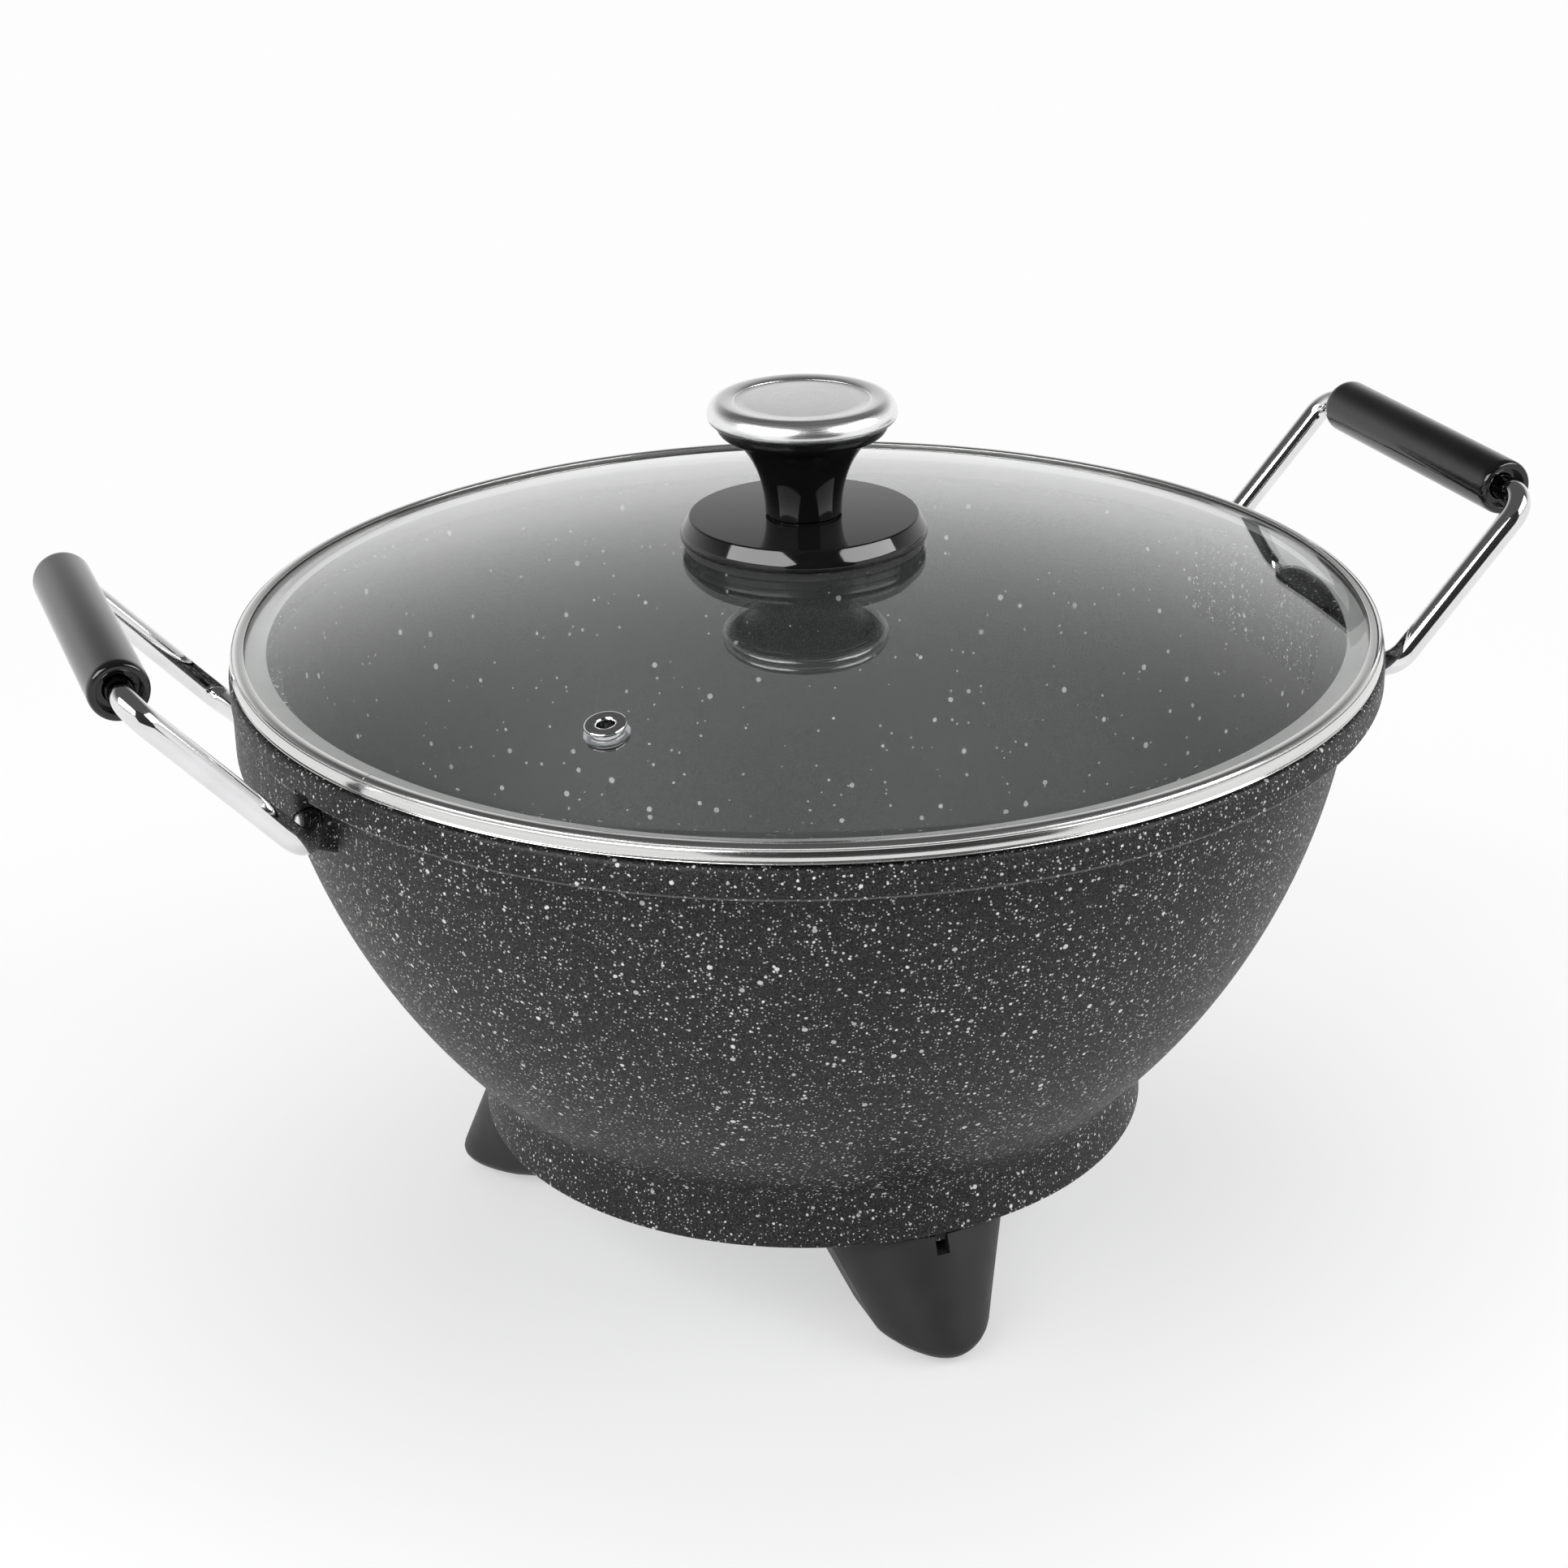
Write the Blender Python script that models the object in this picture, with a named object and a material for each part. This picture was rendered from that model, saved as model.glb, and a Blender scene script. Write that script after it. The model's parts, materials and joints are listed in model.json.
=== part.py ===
"""Electric wok with a lift-off glass lid. Metres, +Z up, standing on the floor at z = 0.

The bowl's axis is Z, the handles lie on the X axis, and the heater's inlet faces +Y.
Each size that can be chosen is a named value below. Everything else is worked out from them.
"""

import math

import bmesh
import bpy
from mathutils import Matrix, Vector

# Clearances and cutting
FIT = 0.0003
SLIDE_FIT = 0.0005
SOLDER = 1e-6
OVERRUN = 0.004
ROUND_STEPS = 56
KNOB_STEPS = 28
GRIP_STEPS = 20
VENT_STEPS = 14
SMALL_STEPS = 12
SOFT_STEPS = 2
SHARP_ANGLE = math.radians(32)

# Bowl casting
STAND_HEIGHT = 0.040
BOWL_HEIGHT = 0.1612
RIM_RADIUS = 0.1806
RIM_WALL = 0.0051
RIM_SOFTENING = 0.0022
FLANGE_HEIGHT = 0.0097
FLANGE_OVERHANG = 0.0090
FLANGE_FILLET = 0.0025
REBATE_DEPTH = 0.0062
LEDGE_WIDTH = 0.0060
LEDGE_SLOPE_HEIGHT = 0.0080
WALL = 0.0040
WALL_SWEEP_RADIUS = 0.2142
WALL_SWEEP_STEPS = 5
FOOT_RADIUS = 0.1091
FOOT_TAPER = 0.0025
FOOT_HEIGHT = 0.0175
FOOT_WALL = 0.0061
FOOT_EDGE_SOFTENING = 0.0012
NECK_FILLET = 0.0045
CAVITY_DEPTH = 0.0220
BASE_THICKNESS = 0.0050
FLOOR_FILLET_RADIUS = 0.0160
FLOOR_FILLET_STEPS = 3
FOOT_TAB_WIDTH = 0.0034
FOOT_TAB_DEPTH = 0.0038
FOOT_TAB_DROP = 0.0025

# Lugs that hold the handle rods
LUG_INSET = 0.0004
LUG_HALF_WIDTH = 0.0445
LUG_BELOW_ROD = 0.0040
LUG_SLOPE_HEIGHT = 0.0070
LUG_STEPS = 6
NOTCH_WIDTH = 0.0082
NOTCH_RISE = 0.0020

# Handles
GRIP_REACH = 0.0415
GRIP_RISE = 0.0318
GRIP_RADIUS = 0.0090
GRIP_LENGTH = 0.1012
GRIP_SOFTENING = 0.0030
GRIP_RECESS_RADIUS = 0.0064
GRIP_RECESS_DEPTH = 0.0030
ROD_RADIUS = 0.0040
ROD_ARM_SPREAD = 0.0625
ROD_BEND_RADIUS = 0.0085
ROD_BEND_STEPS = 6
ROD_ELBOW_INSET = 0.0042
ROD_ELBOW_DROP = 0.0187
ROD_TIP_INSET = 0.0111
ROD_TIP_SPREAD = 0.0350

# Legs
LEG_ANGLES = {"front": -90.0, "rear_left": 150.0, "rear_right": 30.0}
LEG_TOP_HALF_WIDTH = 0.0320
LEG_TOE_HALF_WIDTH = 0.0160
LEG_TOP_BULGE = 0.0240
LEG_TOE_BULGE = 0.0200
LEG_TOP_DEPTH = 0.0480
LEG_TOE_DEPTH = 0.0360
LEG_FLARE = 0.0162
LEG_FRONT_SWEEP = 70.0
LEG_WALL = 0.0026
LEG_TOP_PLATE = 0.0060
LEG_TOE_PLATE = 0.0042
LEG_TOE_RISE = 0.0070
LEG_TOE_SIDE_SOFTENING = 0.0090
LEG_TOE_FRONT_SOFTENING = 0.0120
LEG_TOE_STEPS = 3
LEG_OUTLINE_STEPS = 10
LEG_PAD_INSET = 0.0250
LEG_ACCESS_RADIUS = 0.0046
LEG_NOTCH_WIDTH = 0.0042
LEG_NOTCH_HEIGHT = 0.0065
LEG_NOTCH_DEPTH = 0.0050
LEG_TAB_WIDTH = 0.0280
LEG_TAB_LENGTH = 0.0240
LEG_TAB_THICKNESS = 0.0065
LEG_TAB_RISE = 0.0041
PAD_RADIUS = 0.0060
PAD_THICKNESS = 0.0016
PAD_PROUD = 0.0006

# Screws
SCREW_RADIUS = 0.0018
SCREW_HEAD_RADIUS = 0.0036
SCREW_HEAD_HEIGHT = 0.0022
SCREW_CROSS_LENGTH = 0.0040
SCREW_CROSS_WIDTH = 0.0010
SCREW_CROSS_DEPTH = 0.0010
BOSS_RADIUS = 0.0045
LEG_SCREW_INSET = 0.0190
LEG_SCREW_BITE = 0.0090
CLAMP_SCREW_INSET = 0.0120
CLAMP_SCREW_BITE = 0.0045
GUARD_SCREW_BITE = 0.0065

# Bottom cover
COVER_THICKNESS = 0.0015
COVER_SLOT_LENGTH = 0.0260
COVER_SLOT_WIDTH = 0.0040
COVER_SLOT_INSET = 0.0390
COVER_SLOT_COUNT = 8

# Heating element and its clamp
ELEMENT_RADIUS = 0.0035
ELEMENT_INSET = 0.0450
ELEMENT_BEND_RADIUS = 0.0080
ELEMENT_LEAD_STRAIGHT = 0.0025
ELEMENT_RING_STEPS = 24
ELEMENT_BEND_STEPS = 5
ELEMENT_LEAD_STEPS = 6
CLAMP_INNER_MARGIN = 0.0060
CLAMP_OUTER_MARGIN = 0.0080
CLAMP_THICKNESS = 0.0012
CLAMP_GAP_CLEARANCE = 0.0018

# Inlet for the detachable plug
PIN_SPACING = 0.0254
PIN_RADIUS = 0.0024
PIN_TAIL = 0.0055
PIN_LENGTH = 0.0310
PIN_TIP = 0.0010
INSULATOR_BODY_RADIUS = 0.0048
INSULATOR_FLANGE_RADIUS = 0.0062
INSULATOR_FLANGE = 0.0024
INSULATOR_NOSE = 0.0030
SLEEVE_RADIUS = 0.0040
SLEEVE_WALL = 0.0008
SLEEVE_LENGTH = 0.0400
SLEEVE_COLLAR_RADIUS = 0.0059
GUARD_HALF_WIDTH = 0.0235
GUARD_HEIGHT = 0.0160
GUARD_WALL = 0.0016
GUARD_BACK_WALL = 0.0020
GUARD_INSET = 0.0185
GUARD_PROUD = 0.0090
GUARD_SOFTENING = 0.0020
GUARD_ABOVE_COVER = 0.0002
EAR_WIDTH = 0.0125
EAR_LENGTH = 0.0105
EAR_THICKNESS = 0.0020
EAR_HEIGHT = 0.0054
EARTH_HALF_WIDTH = 0.0040
EARTH_THICKNESS = 0.0007
EARTH_LENGTH = 0.0240
EARTH_SPRING_DROP = 0.0014

# Lid
LID_INSET = 0.0006
LID_LIFT = 0.0010
RIM_STEEL = 0.0005
RIM_LAP = 0.0045
RIM_BEAD_SOFTENING = 0.0020
SKIRT_FIT = 0.0012
GLASS_THICKNESS = 0.0035
GLASS_RISE = 0.0245
GLASS_SEAT = 0.0020
GLASS_STEPS = 5
GLASS_HOLE_RADIUS = 0.0050

# Steam vent
VENT_DISTANCE = 0.1310
VENT_ANGLE = math.radians(-136.3)
VENT_HOLE_RADIUS = 0.0025
VENT_TUBE_RADIUS = 0.0041
VENT_FLANGE_RADIUS = 0.0062
VENT_FLANGE_HEIGHT = 0.0013
VENT_WASHER_RADIUS = 0.0068
VENT_WASHER_THICKNESS = 0.0006

# Knob
GASKET_RADIUS = 0.0375
GASKET_THICKNESS = 0.0016
GASKET_STEPS = 3
KNOB_BASE_RADIUS = 0.0386
KNOB_BASE_TOP_RADIUS = 0.0358
KNOB_BASE_HEIGHT = 0.0066
KNOB_BASE_EDGE = 0.0021
KNOB_BASE_SOFTENING = 0.0006
STEM_FOOT_RADIUS = 0.0119
STEM_FLARE = 0.0190
STEM_HEIGHT = 0.0295
STEM_STEPS = 7
STEM_GROOVE = 0.0006
CAP_RADIUS = 0.0294
CAP_HEIGHT = 0.0072
CAP_WIDEST_RISE = 0.0018
CAP_CROWN_RADIUS = 0.0250
CAP_DISH_RADIUS = 0.0222
CAP_DISH_DEPTH = 0.0007
CAP_WALL = 0.0018
CAP_TOP_WALL = 0.0013
CAP_STEPS = 4
KNOB_SCREW_RADIUS = 0.0020
KNOB_SCREW_HEAD_RADIUS = 0.0045
KNOB_SCREW_HEAD_HEIGHT = 0.0024
KNOB_SCREW_BITE = 0.0180
KNOB_WASHER_RADIUS = 0.0090
KNOB_WASHER_THICKNESS = 0.0008
KNOB_SEAL_RADIUS = 0.0110
KNOB_SEAL_THICKNESS = 0.0012

# Heights and places that follow from the sizes above
RIM_TOP = STAND_HEIGHT + BOWL_HEIGHT
FLANGE_BOTTOM = RIM_TOP - FLANGE_HEIGHT
FLANGE_ROOT_RADIUS = RIM_RADIUS - FLANGE_OVERHANG
NECK_TOP = STAND_HEIGHT + FOOT_HEIGHT
FOOT_NECK_RADIUS = FOOT_RADIUS - FOOT_TAPER
FOOT_INNER_RADIUS = FOOT_RADIUS - FOOT_WALL
BASE_UNDERSIDE = STAND_HEIGHT + CAVITY_DEPTH
BASE_TOP = BASE_UNDERSIDE + BASE_THICKNESS
REBATE_RADIUS = RIM_RADIUS - RIM_WALL
LEDGE_TOP = RIM_TOP - REBATE_DEPTH
HANDLE_REACH = RIM_RADIUS + GRIP_REACH
ROD_ELBOW_REACH = RIM_RADIUS - ROD_ELBOW_INSET
ROD_TIP_REACH = RIM_RADIUS - ROD_TIP_INSET
ELBOW_HEIGHT = RIM_TOP - ROD_ELBOW_DROP
GRIP_HEIGHT = RIM_TOP + GRIP_RISE
LEG_TOP = STAND_HEIGHT - FIT
LEG_TOP_RADIUS = FOOT_RADIUS - FIT
LEG_TAB_TOP = STAND_HEIGHT + LEG_TAB_RISE
LEG_SCREW_RADIUS = FOOT_INNER_RADIUS - LEG_SCREW_INSET
COVER_BOTTOM = LEG_TAB_TOP + FIT
COVER_TOP = COVER_BOTTOM + COVER_THICKNESS
COVER_RADIUS = FOOT_INNER_RADIUS - SLIDE_FIT
COVER_SLOT_END = FOOT_INNER_RADIUS - COVER_SLOT_INSET
ELEMENT_RING_RADIUS = FOOT_INNER_RADIUS - ELEMENT_INSET
CLAMP_SCREW_RADIUS = ELEMENT_RING_RADIUS - CLAMP_SCREW_INSET
CLAMP_INNER_RADIUS = CLAMP_SCREW_RADIUS - CLAMP_INNER_MARGIN
CLAMP_OUTER_RADIUS = ELEMENT_RING_RADIUS + CLAMP_OUTER_MARGIN
CLAMP_GAP_HALF_WIDTH = PIN_SPACING / 2 + ELEMENT_RADIUS + CLAMP_GAP_CLEARANCE
ELEMENT_HEIGHT = BASE_UNDERSIDE - FIT - ELEMENT_RADIUS
CLAMP_TOP = ELEMENT_HEIGHT - ELEMENT_RADIUS - FIT
CLAMP_BOTTOM = CLAMP_TOP - CLAMP_THICKNESS
GUARD_START = FOOT_INNER_RADIUS - GUARD_INSET
PIN_START = GUARD_START - PIN_TAIL
GUARD_BOTTOM = COVER_BOTTOM + GUARD_ABOVE_COVER
GUARD_TOP = GUARD_BOTTOM + GUARD_HEIGHT
GUARD_END = FOOT_RADIUS + GUARD_PROUD
PIN_HEIGHT = (GUARD_BOTTOM + GUARD_TOP) / 2
EAR_BOTTOM = GUARD_BOTTOM + EAR_HEIGHT
EAR_TOP = EAR_BOTTOM + EAR_THICKNESS
EAR_SCREW_X = GUARD_HALF_WIDTH + EAR_WIDTH / 2
EAR_SCREW_Y = GUARD_START + EAR_LENGTH / 2
LID_RADIUS = RIM_RADIUS - LID_INSET
LID_LIP = RIM_TOP + LID_LIFT
GLASS_EDGE_BOTTOM = LID_LIP + RIM_STEEL + FIT
GLASS_EDGE_TOP = GLASS_EDGE_BOTTOM + GLASS_THICKNESS
LID_RIM_TOP = GLASS_EDGE_TOP + FIT + RIM_STEEL
LID_LAP_RADIUS = LID_RADIUS - RIM_LAP
DOME_RADIUS_AT_EDGE = LID_LAP_RADIUS - GLASS_SEAT
DOME_TOP = GLASS_EDGE_TOP + GLASS_RISE
DOME_SPHERE = (DOME_RADIUS_AT_EDGE**2 + GLASS_RISE**2) / (2 * GLASS_RISE)
GASKET_TOP = DOME_TOP + GASKET_THICKNESS
KNOB_BASE_BOTTOM = GASKET_TOP + FIT
KNOB_BASE_TOP = KNOB_BASE_BOTTOM + KNOB_BASE_HEIGHT
STEM_BOTTOM = KNOB_BASE_TOP + FIT
STEM_TOP = STEM_BOTTOM + STEM_HEIGHT
CAP_BOTTOM = STEM_TOP + FIT
CAP_TOP = CAP_BOTTOM + CAP_HEIGHT


def clear_scene():
    """Remove every object that the start-up file brings."""
    for obj in list(bpy.data.objects):
        bpy.data.objects.remove(obj, do_unlink=True)


def finish(name, colour, roughness, metallic=0.0, transmission=0.0):
    """A Principled BSDF material in one plain colour."""
    material = bpy.data.materials.new(name)
    material.use_nodes = True
    shader = material.node_tree.nodes["Principled BSDF"]
    shader.inputs["Base Color"].default_value = (*colour, 1.0)
    shader.inputs["Roughness"].default_value = roughness
    shader.inputs["Metallic"].default_value = metallic
    shader.inputs["Transmission Weight"].default_value = transmission
    material.diffuse_color = (*colour, 1.0)
    return material


def make_finishes():
    """The finishes of the wok, by the name that the pieces ask for."""
    return {
        "speckled_coating": finish("speckled_coating", (0.035, 0.035, 0.037), 0.45),
        "gloss_black": finish("gloss_black", (0.008, 0.008, 0.009), 0.12),
        "satin_black": finish("satin_black", (0.016, 0.016, 0.017), 0.55),
        "chrome": finish("chrome", (0.80, 0.80, 0.81), 0.06, metallic=1.0),
        "polished_steel": finish("polished_steel", (0.68, 0.67, 0.66), 0.16, metallic=1.0),
        "brushed_steel": finish("brushed_steel", (0.66, 0.66, 0.67), 0.28, metallic=1.0),
        "zinc_steel": finish("zinc_steel", (0.55, 0.56, 0.57), 0.35, metallic=1.0),
        "glass": finish("glass", (0.92, 0.94, 0.94), 0.02, transmission=1.0),
        "silicone": finish("silicone", (0.62, 0.63, 0.63), 0.45),
        "rubber": finish("rubber", (0.02, 0.02, 0.02), 0.85),
        "ceramic": finish("ceramic", (0.80, 0.78, 0.73), 0.40),
        "sheath": finish("sheath", (0.22, 0.21, 0.20), 0.45, metallic=0.8),
    }


def place_mesh(name, bm, material, shade=True):
    """Turn a bmesh into a named object in the scene."""
    mesh = bpy.data.meshes.new(name)
    bm.to_mesh(mesh)
    bm.free()
    if shade:
        mesh.shade_smooth()
        mesh.set_sharp_from_angle(angle=SHARP_ANGLE)
    obj = bpy.data.objects.new(name, mesh)
    bpy.context.scene.collection.objects.link(obj)
    if material is not None:
        obj.data.materials.append(material)
    return obj


def as_cutter(obj, group):
    """Hide a helper from the finished model and put it in a group that a Boolean reads."""
    obj.hide_render = True
    obj.display_type = "WIRE"
    for holder in list(obj.users_collection):
        holder.objects.unlink(obj)
    group.objects.link(obj)
    return obj


def helper_group(name):
    """A collection of helpers."""
    group = bpy.data.collections.new(name)
    bpy.context.scene.collection.children.link(group)
    return group


def combine(obj, group, operation):
    """Join or cut an object with every helper in a group."""
    modifier = obj.modifiers.new(f"{operation.lower()}_{group.name}", "BOOLEAN")
    modifier.operation = operation
    modifier.solver = "EXACT"
    modifier.operand_type = "COLLECTION"
    modifier.collection = group


def softened(points, cuts, closed=True, steps=SOFT_STEPS):
    """Round the corners of an outline. Each cut is how far back from its corner a curve starts."""
    rounded = []
    count = len(points)
    for index, (point, cut) in enumerate(zip(points, cuts)):
        here = Vector(point)
        at_end = not closed and index in (0, count - 1)
        if cut == 0 or at_end:
            rounded.append(here)
            continue
        before = Vector(points[index - 1]) - here
        after = Vector(points[(index + 1) % count]) - here
        start = here + before.normalized() * min(cut, before.length / 2)
        end = here + after.normalized() * min(cut, after.length / 2)
        for step in range(steps + 1):
            t = step / steps
            rounded.append(start * (1 - t) ** 2 + here * 2 * t * (1 - t) + end * t**2)
    return rounded


def arc(centre, radius, start, end, steps):
    """Points along an arc in the outline's plane, both ends included."""
    points = []
    for step in range(steps + 1):
        angle = start + (end - start) * step / steps
        points.append(Vector(centre) + Vector((math.cos(angle), math.sin(angle))) * radius)
    return points


def turned(name, outline, material, closed=True, steps=ROUND_STEPS):
    """Turn an outline of (radius, height) points about Z. An open outline starts and ends on the axis."""
    bm = bmesh.new()
    rim = [bm.verts.new((radius, 0, height)) for radius, height in outline]
    pairs = list(zip(rim, rim[1:]))
    if closed:
        pairs.append((rim[-1], rim[0]))
    edges = [bm.edges.new(pair) for pair in pairs]
    bmesh.ops.spin(
        bm,
        geom=rim + edges,
        cent=(0, 0, 0),
        axis=(0, 0, 1),
        angle=2 * math.pi,
        steps=steps,
        use_merge=True,
    )
    bmesh.ops.remove_doubles(bm, verts=bm.verts, dist=SOLDER)
    bmesh.ops.recalc_face_normals(bm, faces=bm.faces)
    return place_mesh(name, bm, material)


def block(name, low, high, material=None):
    """A box between two corners."""
    low, high = Vector(low), Vector(high)
    bm = bmesh.new()
    bmesh.ops.create_cube(bm, size=1)
    size = high - low
    bmesh.ops.scale(bm, vec=size, verts=bm.verts)
    bmesh.ops.translate(bm, vec=(low + high) / 2, verts=bm.verts)
    return place_mesh(name, bm, material, shade=False)


def rod_between(name, start, end, radius, material=None, steps=SMALL_STEPS):
    """A round bar from one point to another."""
    start, end = Vector(start), Vector(end)
    along = end - start
    bm = bmesh.new()
    bmesh.ops.create_cone(
        bm,
        cap_ends=True,
        segments=steps,
        radius1=radius,
        radius2=radius,
        depth=along.length,
    )
    turn = Vector((0, 0, 1)).rotation_difference(along).to_matrix().to_4x4()
    bmesh.ops.transform(bm, matrix=Matrix.Translation((start + end) / 2) @ turn, verts=bm.verts)
    return place_mesh(name, bm, material)


def extruded(name, outline, low, high, material=None):
    """Raise an outline of (x, y) points from one height to another."""
    bm = bmesh.new()
    face = bm.faces.new([bm.verts.new((x, y, low)) for x, y in outline])
    raised = bmesh.ops.extrude_face_region(bm, geom=[face])
    tops = [item for item in raised["geom"] if isinstance(item, bmesh.types.BMVert)]
    bmesh.ops.translate(bm, vec=(0, 0, high - low), verts=tops)
    bmesh.ops.recalc_face_normals(bm, faces=bm.faces)
    return place_mesh(name, bm, material)


def lofted(name, sections, material=None):
    """Skin closed loops of points, all with the same count, and close both ends."""
    bm = bmesh.new()
    loops = []
    for section in sections:
        ring = [bm.verts.new(point) for point in section]
        loops.append([bm.edges.new(pair) for pair in zip(ring, ring[1:] + ring[:1])])
    for below, above in zip(loops, loops[1:]):
        bmesh.ops.bridge_loops(bm, edges=below + above)
    for ends in (loops[0], loops[-1]):
        bmesh.ops.contextual_create(bm, geom=ends)
    bmesh.ops.recalc_face_normals(bm, faces=bm.faces)
    return place_mesh(name, bm, material)


def bent_path(corners, bend_radius, steps):
    """A path through straight runs whose corners are true arcs."""
    path = [Vector(corners[0])]
    for before, corner, after in zip(corners, corners[1:], corners[2:]):
        corner = Vector(corner)
        inward = (Vector(before) - corner).normalized()
        outward = (Vector(after) - corner).normalized()
        half_turn = inward.angle(outward) / 2
        cut = bend_radius / math.tan(half_turn)
        centre = corner + (inward + outward).normalized() * (bend_radius / math.sin(half_turn))
        start = corner + inward * cut - centre
        end = corner + outward * cut - centre
        sweep = start.angle(end)
        for step in range(steps + 1):
            share = step / steps
            turn = math.sin((1 - share) * sweep) * start + math.sin(share * sweep) * end
            path.append(centre + turn / math.sin(sweep))
    path.append(Vector(corners[-1]))
    return path


def tube_along(name, path, radius, resolution, material):
    """A solid round wire along a path."""
    curve = bpy.data.curves.new(name, "CURVE")
    curve.dimensions = "3D"
    curve.bevel_depth = radius
    curve.bevel_resolution = resolution
    curve.use_fill_caps = True
    spline = curve.splines.new("POLY")
    spline.points.add(len(path) - 1)
    for point, place in zip(spline.points, path):
        point.co = (*place, 1.0)
    spline.use_smooth = True
    obj = bpy.data.objects.new(name, curve)
    bpy.context.scene.collection.objects.link(obj)
    curve.materials.append(material)
    return obj


def sweep_centre(low, high, radius):
    """Centre of the arc of this radius that bulges outwards between two outline points."""
    low, high = Vector(low), Vector(high)
    chord = high - low
    reach = math.sqrt(max(radius**2 - (chord.length / 2) ** 2, 0))
    inward = Vector((-chord.y, chord.x)).normalized()
    return (low + high) / 2 + inward * reach


NECK = (FOOT_NECK_RADIUS, NECK_TOP)
FLANGE_ROOT = (FLANGE_ROOT_RADIUS, FLANGE_BOTTOM)
SWEEP_CENTRE = sweep_centre(NECK, FLANGE_ROOT, WALL_SWEEP_RADIUS)


def sweep_angle(height, radius):
    """Angle on the wall's arc at which it reaches a height."""
    return math.asin((height - SWEEP_CENTRE.y) / radius)


def at_bearing(radius, angle, height):
    """A point at a distance from the bowl's axis, on a bearing in degrees."""
    bearing = math.radians(angle)
    return (radius * math.cos(bearing), radius * math.sin(bearing), height)


def bowl_outside():
    """Outline of the casting's outer form, as if it were solid."""
    wall = arc(
        SWEEP_CENTRE,
        WALL_SWEEP_RADIUS,
        sweep_angle(NECK_TOP, WALL_SWEEP_RADIUS),
        sweep_angle(FLANGE_BOTTOM, WALL_SWEEP_RADIUS),
        WALL_SWEEP_STEPS,
    )
    points = [(0, STAND_HEIGHT), (FOOT_RADIUS, STAND_HEIGHT), wall[0]]
    cuts = [0, FOOT_EDGE_SOFTENING, NECK_FILLET]
    points += wall[1:-1]
    cuts += [0] * len(wall[1:-1])
    points += [
        wall[-1],
        (RIM_RADIUS, FLANGE_BOTTOM),
        (RIM_RADIUS, RIM_TOP),
        (0, RIM_TOP),
    ]
    cuts += [FLANGE_FILLET, FOOT_EDGE_SOFTENING, RIM_SOFTENING, 0]
    return softened(points, cuts, closed=False)


def bowl_inside():
    """Outline of the space inside the bowl, carried on past the rim."""
    radius = WALL_SWEEP_RADIUS - WALL
    slope_foot = LEDGE_TOP - LEDGE_SLOPE_HEIGHT
    fillet_height = BASE_TOP + FLOOR_FILLET_RADIUS
    lean = math.asin((fillet_height - SWEEP_CENTRE.y) / (radius - FLOOR_FILLET_RADIUS))
    away = Vector((math.cos(lean), math.sin(lean)))
    fillet_centre = SWEEP_CENTRE + away * (radius - FLOOR_FILLET_RADIUS)
    points = [Vector((0, BASE_TOP))]
    points += arc(fillet_centre, FLOOR_FILLET_RADIUS, -math.pi / 2, lean, FLOOR_FILLET_STEPS)
    points += arc(SWEEP_CENTRE, radius, lean, sweep_angle(slope_foot, radius), WALL_SWEEP_STEPS)[1:]
    points += [
        Vector((REBATE_RADIUS - LEDGE_WIDTH, LEDGE_TOP)),
        Vector((REBATE_RADIUS, LEDGE_TOP)),
        Vector((REBATE_RADIUS, RIM_TOP + OVERRUN)),
        Vector((0, RIM_TOP + OVERRUN)),
    ]
    return points


def lug_sections(side):
    """Slices of one lug, a wide block under the flange whose outer face follows the flange's curve."""
    outer = RIM_RADIUS - LUG_INSET
    low = ELBOW_HEIGHT - ROD_RADIUS - LUG_BELOW_ROD
    foot = low - LUG_SLOPE_HEIGHT
    inside = WALL_SWEEP_RADIUS - WALL
    inner = SWEEP_CENTRE.x + inside * math.cos(sweep_angle(foot, inside))
    top = FLANGE_BOTTOM + FLANGE_FILLET
    outline = [(inner, top), (outer, top), (outer, low), (inner, foot)]
    reach = math.asin(LUG_HALF_WIDTH / outer)
    sections = []
    for step in range(LUG_STEPS + 1):
        angle = reach * (2 * step / LUG_STEPS - 1)
        sections.append([(side * r * math.cos(angle), r * math.sin(angle), z) for r, z in outline])
    return sections


def rod_corners(side):
    """Corners of a handle's rod, from one tip to the other."""
    half = [
        Vector((side * ROD_TIP_REACH, -ROD_TIP_SPREAD, ELBOW_HEIGHT)),
        Vector((side * ROD_ELBOW_REACH, -ROD_ARM_SPREAD, ELBOW_HEIGHT)),
        Vector((side * HANDLE_REACH, -ROD_ARM_SPREAD, GRIP_HEIGHT)),
    ]
    return half + [Vector((point.x, -point.y, point.z)) for point in reversed(half)]


def boss_places():
    """Each boss under the base: name, x, y, height of its lower face and length of screw in it."""
    places = []
    for name, angle in LEG_ANGLES.items():
        x, y, _ = at_bearing(LEG_SCREW_RADIUS, angle, 0)
        places.append((f"leg_{name}", x, y, COVER_TOP + FIT, LEG_SCREW_BITE))
        x, y, _ = at_bearing(CLAMP_SCREW_RADIUS, angle, 0)
        places.append((f"clamp_{name}", x, y, CLAMP_TOP + FIT, CLAMP_SCREW_BITE))
    for name, side in (("left", -1), ("right", 1)):
        places.append((f"guard_{name}", side * EAR_SCREW_X, EAR_SCREW_Y, EAR_TOP + FIT, GUARD_SCREW_BITE))
    return places


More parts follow.
